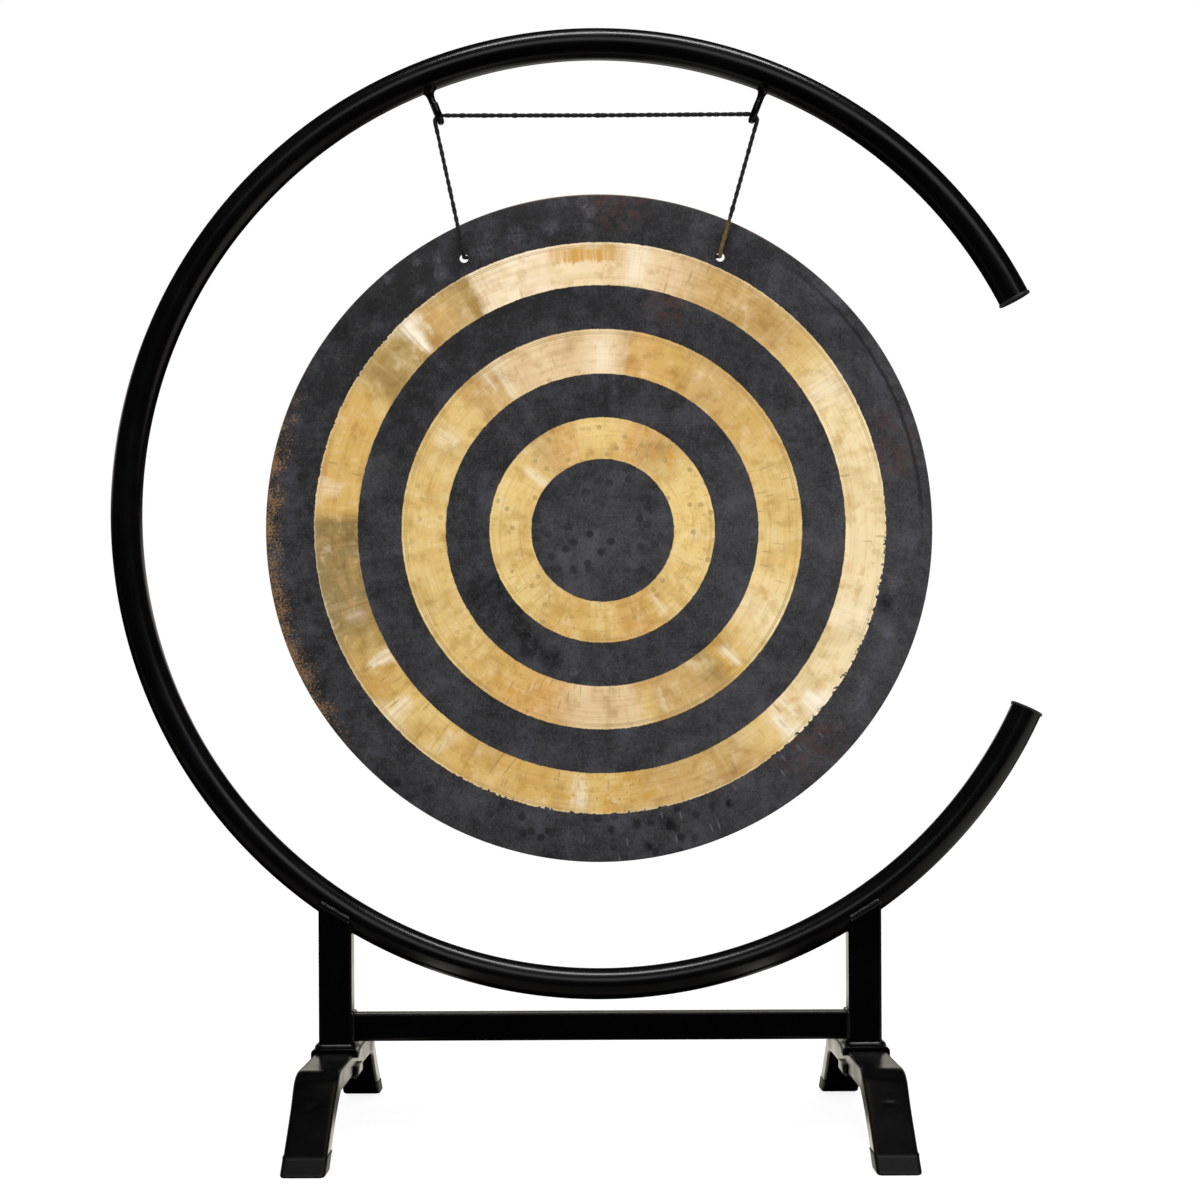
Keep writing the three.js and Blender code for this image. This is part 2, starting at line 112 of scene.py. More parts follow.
# A mesh from a grid whose rows are closed loops. Neighbours are joined by four-sided faces, and
# each end row is closed by a fan round its middle. Doubles are merged, faces turned outwards,
# and edges sharper than the angle stay crisp. The uv is across the loop and along the path.
def surfaceObject(name, rows, uv=None, sharp=38, closedPath=False):
    count, around = rows.shape[:2]
    index = np.arange(count * around).reshape(count, around)
    right = np.roll(index, -1, axis=1)
    points = rows.reshape(-1, 3)
    fans = np.zeros((0, 3), int)
    if closedPath:
        index, right = np.vstack([index, index[:1]]), np.vstack([right, right[:1]])
    else:
        points = np.vstack([points, rows[0].mean(axis=0), rows[-1].mean(axis=0)])
        first = np.full(around, count * around)
        fans = np.vstack([np.stack([right[0], index[0], first], axis=-1),
                          np.stack([index[-1], right[-1], first + 1], axis=-1)])
    quads = np.stack([index[:-1], right[:-1], right[1:], index[1:]], axis=-1).reshape(-1, 4)
    mesh = bpy.data.meshes.new(name)
    mesh.from_pydata(points.tolist(), [], quads.tolist() + fans.tolist())
    if uv is not None:
        across, along = uv
        farther = np.append(across[1:], 2 * across[-1] - across[-2])
        us = np.stack([across, farther, farther, across], axis=-1)
        vs = np.stack([along[:-1], along[:-1], along[1:], along[1:]], axis=-1)
        corners = np.zeros((quads.size + fans.size, 2), np.float32)
        corners[:quads.size, 0] = np.tile(us.ravel(), count - 1)
        corners[:quads.size, 1] = np.repeat(vs, around, axis=0).ravel()
        mesh.uv_layers.new(name="alongCord").data.foreach_set("uv", corners.ravel())
    work = bmesh.new()
    work.from_mesh(mesh)
    bmesh.ops.remove_doubles(work, verts=work.verts, dist=1e-7)
    bmesh.ops.recalc_face_normals(work, faces=work.faces)
    work.to_mesh(mesh)
    work.free()
    mesh.polygons.foreach_set("use_smooth", np.ones(len(mesh.polygons), bool))
    mesh.set_sharp_from_angle(angle=math.radians(sharp))
    return linked(name, mesh)


# The other pieces' meshes are added to the first one's.
def joinPieces(first, others):
    work = bmesh.new()
    for piece in (first, *others):
        work.from_mesh(piece.data)
    work.to_mesh(first.data)
    work.free()
    for other in others:
        bpy.data.objects.remove(other)


def tangents(path, closedPath):
    if closedPath:
        return unit(np.roll(path, -1, axis=0) - np.roll(path, 1, axis=0))
    return unit(np.gradient(path, axis=0))


# A closed loop of (across, up) offsets is carried along a path. The across direction is the
# given one, less its part along the path.
def sweep(path, loop, across, closedPath=False):
    tangent = tangents(path, closedPath)
    across = np.broadcast_to(np.asarray(across, float), path.shape)
    side = unit(across - (across * tangent).sum(axis=1, keepdims=True) * tangent)
    up = np.cross(tangent, side)
    return path[:, None] + loop[..., :1] * side[:, None] + loop[..., 1:] * up[:, None]


# Rounded rectangle: each corner is a quarter turn of the corner radius, and each side is split
# into equal steps.
def roundedBox(width, height, corner, perCorner=6, perSide=6):
    corners = []
    for number, (sx, sy) in enumerate(((1, 1), (-1, 1), (-1, -1), (1, -1))):
        x, y = sx * (width / 2 - corner), sy * (height / 2 - corner)
        corners.append(arc(x, y, corner, 90 * number, 90 * number + 90, perCorner + 1))
    share = np.linspace(0, 1, perSide + 1)[1:-1, None]
    pieces = []
    for bend, after in zip(corners, corners[1:] + corners[:1]):
        pieces += [bend, bend[-1] + share * (after[0] - bend[-1])]
    return np.vstack(pieces)


# A smooth curve through the route's points (Catmull-Rom, spaced by the root of each gap), cut
# into equal steps.
def smoothRoute(points, step):
    padded = np.vstack([2 * points[0] - points[1], points, 2 * points[-1] - points[-2]])
    share = np.linspace(0, 1, 40, endpoint=False)[:, None]

    def between(t, start, end, a, b):
        return (end - t) / (end - start) * a + (t - start) / (end - start) * b

    spans = []
    for a, b, c, d in zip(padded[:-3], padded[1:-2], padded[2:-1], padded[3:]):
        gaps = [0] + [math.sqrt(np.linalg.norm(q - p)) for p, q in ((a, b), (b, c), (c, d))]
        ta, tb, tc, td = np.cumsum(gaps)
        t = tb + share * (tc - tb)
        ab, bc, cd = between(t, ta, tb, a, b), between(t, tb, tc, b, c), between(t, tc, td, c, d)
        abc, bcd = between(t, ta, tc, ab, bc), between(t, tb, td, bc, cd)
        spans.append(between(t, tb, tc, abc, bcd))
    dense = np.vstack(spans + [points[-1:]])
    travelled = np.append(0, np.cumsum(np.linalg.norm(np.diff(dense, axis=0), axis=1)))
    even = np.linspace(0, travelled[-1], max(8, int(round(travelled[-1] / step)) + 1))
    return grid(*(np.interp(even, travelled, dense[:, k]) for k in range(3))), even


# A smooth random field: the mean of cosines whose directions and phases are seeded.
def ripples(x, z, wavelength, seed, count=24):
    dice = np.random.default_rng(seed)
    heading = dice.uniform(0, 2 * math.pi, count)
    number = 2 * math.pi / (wavelength * dice.uniform(0.7, 1.5, count))
    phase = dice.uniform(0, 2 * math.pi, count)
    field = np.zeros(np.broadcast(x, z).shape)
    for h, n, p in zip(heading, number, phase):
        field += np.cos(n * (x * math.cos(h) + z * math.sin(h)) + p)
    return field * math.sqrt(2.0 / count)


# Material tools
class Wire:
    # one socket of a material: arithmetic on it adds the Math nodes
    def __init__(self, tree, socket):
        self.tree = tree
        self.socket = socket

    # any other node: its settings go in first, then the values or links of its sockets
    def node(self, kind, settings=None, values=None, output=0):
        made = self.tree.nodes.new(kind)
        for key, setting in (settings or {}).items():
            if key == "stops":
                ramp = made.color_ramp
                for place, color in setting[1:-1]:
                    ramp.elements.new(place)
                for element, (place, color) in zip(ramp.elements, setting):
                    element.position = place
                    element.color = color
            else:
                setattr(made, key, setting)
        for key, value in (values or {}).items():
            if isinstance(value, Wire):
                self.tree.links.new(value.socket, made.inputs[key])
            else:
                made.inputs[key].default_value = value
        return Wire(self.tree, made.outputs[output])

    def math(self, operation, *others):
        return self.node("ShaderNodeMath", {"operation": operation}, dict(enumerate(others)))

    def __add__(self, other):
        return self.math("ADD", self, other)

    def __sub__(self, other):
        return self.math("SUBTRACT", self, other)

    def __rsub__(self, other):
        return self.math("SUBTRACT", other, self)

    def __mul__(self, other):
        return self.math("MULTIPLY", self, other)

    def __truediv__(self, other):
        return self.math("DIVIDE", self, other)

    def __pow__(self, other):
        return self.math("POWER", self, other)

    def __abs__(self):
        return self.math("ABSOLUTE", self)

    __radd__ = __add__
    __rmul__ = __mul__


def opaque(color):
    return (*color, 1.0)


# from 0 at low to 1 at high, eased at both ends
def eased(value, low, high):
    return value.node("ShaderNodeMapRange", {"interpolation_type": "SMOOTHSTEP"},
                      {"Value": value, "From Min": low, "From Max": high})


def blended(factor, first, second):
    colors = [c if isinstance(c, Wire) else opaque(c) for c in (first, second)]
    return factor.node("ShaderNodeMix", {"data_type": "RGBA"},
                       {0: factor, 6: colors[0], 7: colors[1]}, output=2)


def shaded(factor, color, tone):
    return factor.node("ShaderNodeMix", {"data_type": "RGBA", "blend_type": "MULTIPLY"},
                       {0: factor, 6: color, 7: opaque(tone)}, output=2)


def noise(point, scale, detail=3.0, roughness=0.5, distortion=0.0):
    return point.node("ShaderNodeTexNoise", None,
                      {"Vector": point, "Scale": scale, "Detail": detail,
                       "Roughness": roughness, "Distortion": distortion})


# noise that is 0 below the first level and 1 above the second
def clouds(low, high, point, *texture):
    return eased(noise(point, *texture), low, high)


# distance to the nearest of scattered points, in cells, over the vector's first two values
def spots(point, scale, randomness=1.0):
    return point.node("ShaderNodeTexVoronoi", {"feature": "F1", "voronoi_dimensions": "2D"},
                      {"Vector": point, "Scale": scale, "Randomness": randomness})


def combined(x, y, z):
    return x.node("ShaderNodeCombineXYZ", None, {"X": x, "Y": y, "Z": z})


def separated(vector):
    x = vector.node("ShaderNodeSeparateXYZ", None, {"Vector": vector})
    return [Wire(x.tree, socket) for socket in x.socket.node.outputs]


def mixed(factor, first, second):
    return factor.node("ShaderNodeMixShader", None, {0: factor, 1: first, 2: second})


# A new material and its first wire: Object coordinates, or the piece's UV map.
def newFinish(name, coordinate="Object"):
    material = bpy.data.materials.new(name)
    material.use_nodes = True
    tree = material.node_tree
    tree.nodes.clear()
    start = tree.nodes.new("ShaderNodeTexCoord")
    return material, Wire(tree, start.outputs[coordinate])


def endTree(shader, kind="ShaderNodeOutputMaterial"):
    out = shader.tree.nodes.new(kind)
    shader.tree.links.new(shader.socket, out.inputs["Surface"])


# Closes a material. The height lifts the surface by the relief, in metres.
def endFinish(material, color, rough, height, relief, specular=0.5, **others):
    bump = height.node("ShaderNodeBump", None, {"Height": height, "Distance": relief})
    values = {"Base Color": color, "Roughness": rough, "Normal": bump,
              "Specular IOR Level": specular}
    values.update({key.replace("_", " "): value for key, value in others.items()})
    endTree(color.node("ShaderNodeBsdfPrincipled", None, values))
    return material


# Finishes
paint = {"color": (0.0007, 0.0007, 0.00075), "dusty": (0.0022, 0.0021, 0.0020),
         "dust": (0.012, 0.012, 0.0118), "peel": 0.0000006}
plastic = {"low": (0.010, 0.010, 0.0105), "high": (0.020, 0.0195, 0.019), "grain": 0.00003}
rubber = {"low": (0.0010, 0.0010, 0.0011), "high": (0.0026, 0.0026, 0.0025),
          "scuffed": (0.012, 0.0117, 0.0114), "grain": 0.00003}
zinc = {"low": (0.42, 0.42, 0.43), "high": (0.66, 0.66, 0.68), "yellow": (0.50, 0.47, 0.38),
        "flakes": 0.00002}
fibre = {"low": (0.0035, 0.0035, 0.0035), "high": (0.014, 0.0135, 0.013),
         "worn": (0.030, 0.023, 0.015), "amber": (0.24, 0.14, 0.035), "strand": 2600.0,
         "relief": 0.00012}


# Powder coat: nearly black, slightly uneven in gloss, with fine dust and faint orange peel.
def paintFinish(name, roughness, spread, specular):
    material, point = newFinish(name)
    cloud = noise(point, 24.0, 4.0, 0.6)
    handled = clouds(0.5, 0.75, point, 7.0, 3.0, 0.55, 0.4)
    dust = clouds(0.74, 0.84, point, 420.0, 1.0)
    color = blended(eased(cloud, 0.45, 0.8) * 0.5, paint["color"], paint["dusty"])
    color = blended(dust * 0.25, color, paint["dust"])
    rough = roughness + spread * eased(cloud, 0.3, 0.75) + 0.04 * handled + 0.05 * dust
    height = noise(point, 800.0, 2.0) + 0.6 * noise(point, 320.0, 2.0)
    return endFinish(material, color, rough, height, paint["peel"], specular)


def plasticFinish():
    material, point = newFinish("mouldedPlastic")
    cloud = noise(point, 90.0, 3.0)
    color = blended(cloud, plastic["low"], plastic["high"])
    return endFinish(material, color, 0.34 + 0.12 * cloud, noise(point, 1400.0, 2.0),
                     plastic["grain"])


def rubberFinish():
    material, point = newFinish("bootRubber")
    cloud = noise(point, 60.0, 4.0, 0.6)
    scuffed = clouds(0.60, 0.75, point, 260.0, 3.0, 0.6)
    color = blended(cloud, rubber["low"], rubber["high"])
    color = blended(scuffed * 0.30, color, rubber["scuffed"])
    return endFinish(material, color, 0.40 + 0.12 * cloud, noise(point, 1100.0, 3.0, 0.65),
                     rubber["grain"], 0.14)


def zincFinish():
    material, point = newFinish("zincPlate")
    cloud = noise(point, 160.0, 4.0, 0.6)
    color = blended(cloud, zinc["low"], zinc["high"])
    color = blended(clouds(0.5, 0.8, point, 45.0) * 0.4, color, zinc["yellow"])
    return endFinish(material, color, 0.28 + 0.2 * cloud, noise(point, 900.0, 2.0),
                     zinc["flakes"], Metallic=0.95)


# Braid in the cord's own coordinates: u runs once round it, v is the length in metres. From the
# amber length on it is stained.
def cordFinish(name, amber=None):
    material, point = newFinish(name, "UV")
    around, length, _ = separated(point)
    turn, wind = around * (8 * math.pi), length * fibre["strand"]
    over, under = ((turn + way * wind).math("SINE", turn + way * wind) for way in (1.0, -1.0))
    weave = over.math("MAXIMUM", over, under)
    flat = 0.0 * length
    fibres = noise(combined(around * 40.0, length * 900.0, flat), 3.0, 4.0, 0.7)
    worn = clouds(0.5, 0.75, combined(around * 2.0, length * 60.0, flat), 1.5, 3.0)
    color = blended(fibres, fibre["low"], fibre["high"])
    color = blended(worn * 0.4, color, fibre["worn"])
    if amber:
        thread = eased(fibres, 0.40, 0.58) * eased(length, amber, amber + 0.016)
        color = blended(thread * 0.85, color, fibre["amber"])
    return endFinish(material, color, 0.62 + 0.2 * fibres, weave * 0.5 + fibres,
                     fibre["relief"], 0.25, Sheen_Weight=0.08)


# each finish's slot and material
finishes = {"paint": ("black_paint", paintFinish("satinBlackPaint", 0.20, 0.06, 0.42)),
            "basePaint": ("black_paint", paintFinish("basePaint", 0.18, 0.06, 0.22)),
            "barPaint": ("black_paint", paintFinish("barPaint", 0.10, 0.03, 0.07)),
            "weldPaint": ("black_paint", paintFinish("weldPaint", 0.18, 0.08, 0.62)),
            "plastic": ("black_plastic", plasticFinish()),
            "rubber": ("boot_rubber", rubberFinish()),
            "zinc": ("zinc_steel", zincFinish()),
            "cord": ("cord_fibre", cordFinish("braidedCord")),
            "stainedCord": ("cord_fibre", cordFinish("stainedCord", 0.086))}


# Gives a finished piece its material, its body and the nodes that it stands for.
def settle(piece, finish, body, *nodes):
    slot, material = finishes[finish]
    piece.data.materials.clear()
    piece.data.materials.append(material)
    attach(piece, body)
    if nodes:
        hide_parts(*nodes)
    return piece


# Cord
cord = {"diameter": 0.0036, "step": 0.00034, "around": 20, "braid": 0.15, "pitch": 0.0068,
        "fibres": 1.12, "lump": 0.05, "lumpEvery": 0.011, "plain": 0.97, "endRows": 5}
bridgeRoute = [(-146.02, -8.04, 914.2), (-146.35, -8, 915.97), (-146.46, -8, 917.03),
               (-146.07, -8, 918.98), (-144.97, -8, 920.64), (-143.31, -8, 921.74),
               (-141.36, -8, 922.13), (-134, -8, 922.13), (-100, -8, 922.0), (-70, -8, 921.9),
               (-35, -8, 921.8), (0, -8, 921.7), (35, -8, 921.8), (70, -8, 921.9),
               (100, -8, 922.0), (134, -8, 922.13), (141.36, -8, 922.13),
               (143.31, -8, 921.74), (144.97, -8, 920.64), (146.07, -8, 918.98),
               (146.46, -8, 917.03), (146.27, -8, 915.6), (145.9, -8.04, 914.2)]
dropLeft = [(-146.02, -8.04, 914.2), (-142.9, -8.5, 900), (-139.9, -8.9, 886),
            (-130.3, -10.27, 841), (-124.6, -11.1, 814), (-121.05, -11.6, 797.5),
            (-120.75, -11.2, 795.4), (-120.65, -10.3, 794.1), (-120.6, -9.3, 793.5),
            (-120.6, -8, 793.45)]
dropRight = [(145.9, -8.04, 914.2), (141.8, -8.5, 900), (137.86, -8.9, 886),
             (125.09, -10.27, 841), (117.4, -11.1, 814), (112.75, -11.6, 797.5),
             (112.45, -11.2, 795.4), (112.3, -10.3, 794.1), (112.2, -9.3, 793.5),
             (112.2, -8, 793.45)]
backLeft = [(-120.6, -8, 793.45), (-120.55, -7, 793.45), (-120, -5.8, 793.45),
            (-118.6, -5, 793.45), (-115.4, -4.75, 793.45), (-88, -4.4, 793.3),
            (-48, -3.4, 793.2), (-11.5, -2.6, 793.45)]
backRight = [(112.2, -8, 793.45), (112.15, -7, 793.45), (111.6, -5.8, 793.45),
             (110.2, -5, 793.45), (107, -4.75, 793.45), (80, -4.4, 793.3),
             (40, -3.4, 793.2), (3.1, -2.6, 793.45)]


# Braided cord: a circle carried along the route. Its radius swells where a strand of either
# hand passes, and its two ends close in a half ball.
def cordPiece(name, route, across, seed, diameter=cord["diameter"]):
    path, travelled = smoothRoute(placed(route), cord["step"])
    turn, total = fullTurn(cord["around"]), travelled[-1]
    s, a = travelled[:, None], turn[None, :]
    twist = 2 * math.pi * s / cord["pitch"]
    strands = np.maximum(np.cos(2 * a + twist), np.cos(2 * a - twist))
    lumps = ripples(s * np.ones_like(a), 0 * a, cord["lumpEvery"], seed)
    half = diameter * cord["fibres"] / 2
    radius = half * (1 - cord["braid"] / 2 + cord["braid"] * (strands - 0.35) / 1.3
                     + cord["lump"] * lumps)
    end = half * cord["plain"]
    radius = end + (radius - end) * fade(s, half, 2.5 * half) * fade(total - s, half, 2.5 * half)
    rows = sweep(path, circle(radius, a), across)
    # the half balls: rows past each end, shrinking along a quarter circle
    lift = quarter(cord["endRows"] + 1)[1:, None, None]
    balls = []
    for place, other in ((0, 1), (-1, -2)):
        outward = unit(path[place] - path[other])
        balls.append(path[place] + (rows[place] - path[place]) * np.cos(lift) * 0.999
                     + outward * end * np.sin(lift))
    rows = np.concatenate([balls[0][::-1], rows, balls[1]])
    along = np.pad(travelled, cord["endRows"], "edge")
    piece = surfaceObject(name, rows, uv=(turn / (2 * math.pi), along), sharp=180)
    return piece, path, total


cordPieces = {}
for name, route, across, seed, body, node in (
        ("cordBridge", bridgeRoute, (0, 1, 0), 11, "stand", "cord_bridge"),
        ("cordDropLeft", dropLeft, (1, 0, 0), 12, "cord_sling", "cord_drop_left"),
        ("cordDropRight", dropRight, (1, 0, 0), 13, "cord_sling", "cord_drop_right"),
        ("cordBackLeft", backLeft, (0, 0, 1), 14, "gong", "cord_back_left"),
        ("cordBackRight", backRight, (0, 0, 1), 15, "gong", "cord_back_right")):
    piece, path, length = cordPiece(name, route, across, seed)
    cordPieces[name] = piece, path, length
    settle(piece, "stainedCord" if name == "cordDropRight" else "cord", body, node)
    print(name, "length", round(length * 1000, 1), "mm")

knot = {"middle": (-4.2, -2.6, 793.45), "length": 10.2, "turns": 3.4, "coil": 2.55, "rope": 3.5,
        "points": 192, "tailRope": 3.3, "tails": ((-1, 11.0), (1, 8.5))}


# Barrel knot behind the gong: three turns round the cord, and the two cut tails.
def knotPiece():
    share = np.linspace(0, 1, knot["points"])
    coil = knot["coil"] * np.sqrt(np.clip(np.minimum(share, 1 - share) / 0.10, 0.02, 1))
    angle = 2 * math.pi * knot["turns"] * share + 0.6
    x, y, z = knot["middle"]
    turns = grid(x + knot["length"] * (share - 0.5), y + coil * np.cos(angle),
                 z + coil * np.sin(angle))
    wrapped, _, _ = cordPiece("cordKnot", turns, (1, 0, 0.02), 16, mm(knot["rope"]))
    tails = []
    for side, drop in knot["tails"]:
        tail = [(x + side * out, y + back, z - down) for out, back, down in (
            (4.0, 1.0, 0), (5.8, 2.2, 1.4), (6.8, 2.4, drop * 0.45), (8.4, 2.0, drop))]
        tails.append(cordPiece("tail", tail, (1, 0, 0), 17 + side, mm(knot["tailRope"]))[0])
    joinPieces(wrapped, tails)
    return wrapped


knotted = settle(knotPiece(), "cord", "gong", "cord_knot")
for name, (piece, path, length) in cordPieces.items():
    "knot" if "Back" in name else "object"
    path[::3].tolist() + path[-1:].tolist()
    [knotted] if name == "cordBackLeft" else []
print("cords made")


# Ring and caps
ring = {"height": 560.0, "radius": 429.0, "tube": 14.3, "upper": 27.2, "lower": 24.9,
        "steps": 560, "around": 56}
ringCentre = placed((0, 0, ring["height"]))
cap = {"radius": 15.3, "thickness": 2.5, "rounding": 0.8, "gap": 0.15, "around": 72,
       "crown": ((0.25, 4.0), (0.38, 9.0), (0.4, 14.0))}


# The rolled ring isn't quite round: how far its line lies outside the true circle.
def ringBend(angle):
    bend = 0.05
    for turns, cosine, sine in ((1, -0.63, -0.45), (2, 0.40, -0.49), (3, -0.12, -0.43)):
        bend = bend + cosine * np.cos(turns * angle) + sine * np.sin(turns * angle)
    return bend


# Tube of the ring: a circle carried along the arc from one mouth to the other.
def ringPiece():
    angle = np.radians(np.linspace(ring["upper"], 360 - ring["lower"], ring["steps"]))
    outward = grid(np.cos(angle), 0, np.sin(angle))
    path = ringCentre + mm(ring["radius"] + ringBend(angle))[:, None] * outward
    turn = fullTurn(ring["around"])[None, :, None]
    spokes = np.cos(turn) * outward[:, None] + np.sin(turn) * backwards
    return surfaceObject("ringTube", path[:, None] + mm(ring["tube"]) * spokes)


# Cap: a profile of (height, radius) turned round the tube's own line at the mouth.
def capPiece(name, angle, side):
    angle = math.radians(angle)
    outward = np.array([math.cos(angle), 0, math.sin(angle)])
    along = side * np.array([-math.sin(angle), 0, math.cos(angle)])
    middle = ringCentre + mm(ring["radius"] + ringBend(angle)) * outward
    base, rim, soft = cap["gap"], cap["radius"], cap["rounding"]
    top = base + cap["thickness"]
    profile = np.vstack([[(base, ring["tube"] - 3), (base, rim - 0.3), (base + 0.3, rim)],
                         arc(top - soft, rim - soft, soft, 90, 0, 7),
                         [(top + rise, rim - inset) for rise, inset in cap["crown"]]])
    height, radius = mm(profile).T[:, :, None, None]
    turn = fullTurn(cap["around"])[None, :, None]
    rows = middle + height * along + radius * (np.cos(turn) * outward + np.sin(turn) * backwards)
    return surfaceObject(name, rows, sharp=50)


settle(ringPiece(), "paint", "stand", "ring_tube")
settle(capPiece("ringCapUpper", ring["upper"], -1), "plastic", "stand", "ring_cap_upper")
settle(capPiece("ringCapLower", -ring["lower"], 1), "plastic", "stand", "ring_cap_lower")

weld = {"pitch": 1.9, "around": 20, "swell": 0.93, "pool": 0.10, "slow": 0.07, "slowEvery": 12}


# Weld bead: a flattened circle carried along the seam, with the ripples of the weld pool across
# it and a slow unevenness, and drawn in at its ends.
def weldPiece(name, seam, outward, width, height, seed, closedPath=False):
    steps = np.linalg.norm(np.diff(seam, axis=0), axis=1)
    s, a = np.append(0, np.cumsum(steps))[:, None], fullTurn(weld["around"])[None, :]
    total = s[-1, 0] + (steps.mean() if closedPath else 0)
    waves = round(total / weld["pitch"])
    pool = np.abs(np.sin(math.pi * waves * s / total - 0.9 * np.cos(a)))
    if closedPath:
        slow = sum(np.cos(2 * math.pi * k * s / total + seed * k) / (k + 1) for k in (1, 2, 3, 5))
        taper = 1.0
    else:
        slow = ripples(s * np.ones_like(a), 2 * np.cos(a), weld["slowEvery"], seed)
        near = np.clip(np.minimum(s, total - s) / (width * 0.55), 0, 1)
        taper = np.sqrt(np.clip(1 - (1 - near) ** 2, 0.0004, 1))
    swell = (weld["swell"] + weld["pool"] * pool + weld["slow"] * slow) * taper
    loop = mm(np.stack([width / 2 * swell * np.cos(a), height * swell * np.sin(a)], axis=-1))
    path = placed(seam)
    across = np.cross(tangents(path, closedPath), outward)
    bead = surfaceObject(name, sweep(path, loop, across, closedPath), None, 180, closedPath)
    settle(bead, "weldPaint", "stand")


# Hooks
hook = {"rod": 3.25, "bend": 8.0, "line": 392.0, "tip": 399.5, "soft": 0.9, "angle": 21.6,
        "lean": {"Left": 0.3, "Right": -0.5}, "top": 420.0}
flare = {"size": 4.4, "fall": 2.1, "up": -5.0, "down": 9.0, "fadeFrom": 6.0, "sink": 0.6}


# Hook: a round rod from the ring's underside down, round half a turn to the front and up again.
def hookPiece(side, word, outward, sideways):
    shank = np.linspace(hook["top"], hook["line"], 24, endpoint=False)
    turn = np.linspace(0, math.pi, 48)
    rise = np.linspace(hook["line"], hook["tip"] - hook["soft"], 14)[1:]
    roundEnd = quarter(7)[1:]
    radial = np.concatenate([shank, hook["line"] - hook["bend"] * np.sin(turn), rise,
                             hook["tip"] - hook["soft"] * (1 - np.sin(roundEnd))])
    depth = np.concatenate([0 * shank, hook["bend"] * (np.cos(turn) - 1),
                            np.full(len(rise) + len(roundEnd), -2 * hook["bend"])])
    size = np.full(len(radial), hook["rod"])
    size[-len(roundEnd):] -= hook["soft"] * (1 - np.cos(roundEnd))
    path = ringCentre + mm(radial)[:, None] * outward + mm(depth)[:, None] * backwards
    path[:, 0] -= side * mm(hook["lean"][word]) * np.clip(-depth / (2 * hook["bend"]), 0, 1)
    loop = mm(size)[:, None, None] * circle(1.0, fullTurn(28))
    return surfaceObject("hook" + word, sweep(path, loop, sideways), sharp=60)


# The weld at the hook's top flares from the rod to the ring's underside, further on one side.
def hookWeldPiece(side, word, outward, sideways):
    drop = np.linspace(flare["up"], flare["down"], 40)[:, None]
    around = fullTurn(56)[None]
    spread = flare["size"] * np.exp(-np.clip(drop, 0, None) / flare["fall"])
    spread = spread * (1 + 0.30 * np.cos(around) * side + 0.10 * np.cos(2 * around + side)
                       + 0.05 * np.cos(5 * around + drop))
    size = hook["rod"] - 0.05 + spread * fade(drop, flare["down"], flare["fadeFrom"])
    middle = ringCentre + mm(ring["radius"] - ring["tube"] + flare["sink"] - drop) * outward
    rows = (middle[:, None] + mm(size * np.cos(around))[..., None] * sideways
            + mm(size * np.sin(around))[..., None] * backwards)
    return surfaceObject("hookWeld" + word, rows, sharp=60)


for side, word in sides:
    slant = math.radians(hook["angle"])
    outward = np.array([side * math.sin(slant), 0, math.cos(slant)])
    sideways = np.cross(outward, backwards)
    settle(hookPiece(side, word, outward, sideways), "paint", "stand", "hook_" + word.lower())
    settle(hookWeldPiece(side, word, outward, sideways), "paint", "stand")


# Uprights and bar
upright = {"offset": 240.5, "width": 30.0, "corner": 3.0, "bottom": 75.2, "mitre": 195.35,
           "slope": 31.0, "sink": 0.6}
ringBead = {"reach": 14.6, "face": 13.9, "lift": 3.0, "width": 6.6, "height": 2.1}
footBead = {"grow": 1.0, "level": 76.0, "width": 5.4, "height": 3.0}
barBead = {"grow": 0.5, "corner": 2.9, "inset": 15.6, "width": 3.6, "height": 1.9}
bar = {"width": 25.0, "corner": 2.5, "middle": 93.5, "end": 225.4}


# Upright: a rounded square whose top edge follows the slanted cut on its front and back walls and
# the ring's own surface on its side walls.
def uprightPiece(side, word):
    x, y = roundedBox(upright["width"], upright["width"], upright["corner"], 6, 24).T
    x = side * upright["offset"] + x
    rise = math.tan(math.radians(upright["slope"]))
    cut = upright["mitre"] + (side * x - upright["offset"]) * rise
    inside = np.sqrt(np.clip(ring["tube"] ** 2 - y ** 2, 0, None))
    touch = ring["height"] - np.sqrt((ring["radius"] + inside) ** 2 - x ** 2)
    top = np.minimum(cut, touch + upright["sink"])
    share = np.linspace(0, 1, 40)[:, None]
    rows = grid(x, y, upright["bottom"] + share * (top - upright["bottom"]))
    return surfaceObject("upright" + word, placed(rows))


# Beads over the slanted cut in front and behind, round the foot and round the bar's end.
def uprightBeads(side, word):
    centre = side * upright["offset"]
    along = np.linspace(-ringBead["reach"], ringBead["reach"], 90)
    lift = side * along * math.tan(math.radians(upright["slope"])) + ringBead["lift"]
    for face, name in ((-1, "Front"), (1, "Back")):
        seam = grid(centre + along, face * ringBead["face"], upright["mitre"] + lift)
        weldPiece("ringWeld" + name + word, seam, (0, face, 0), ringBead["width"],
                  ringBead["height"], 41 + side + face)
    foot = upright["width"] + 2 * footBead["grow"]
    x, y = roundedBox(foot, foot, upright["corner"] + footBead["grow"], 6, 40).T
    weldPiece("footWeld" + word, grid(centre + x, y, footBead["level"]), (0, 0, 1),
              footBead["width"], footBead["height"], 51 + side, True)
    end = bar["width"] + 2 * barBead["grow"]
    y, z = roundedBox(end, end, barBead["corner"], 6, 30).T
    weldPiece("barWeld" + word, grid(centre - side * barBead["inset"], y, bar["middle"] + z),
              (-side, 0, 0), barBead["width"], barBead["height"], 61 + side, True)


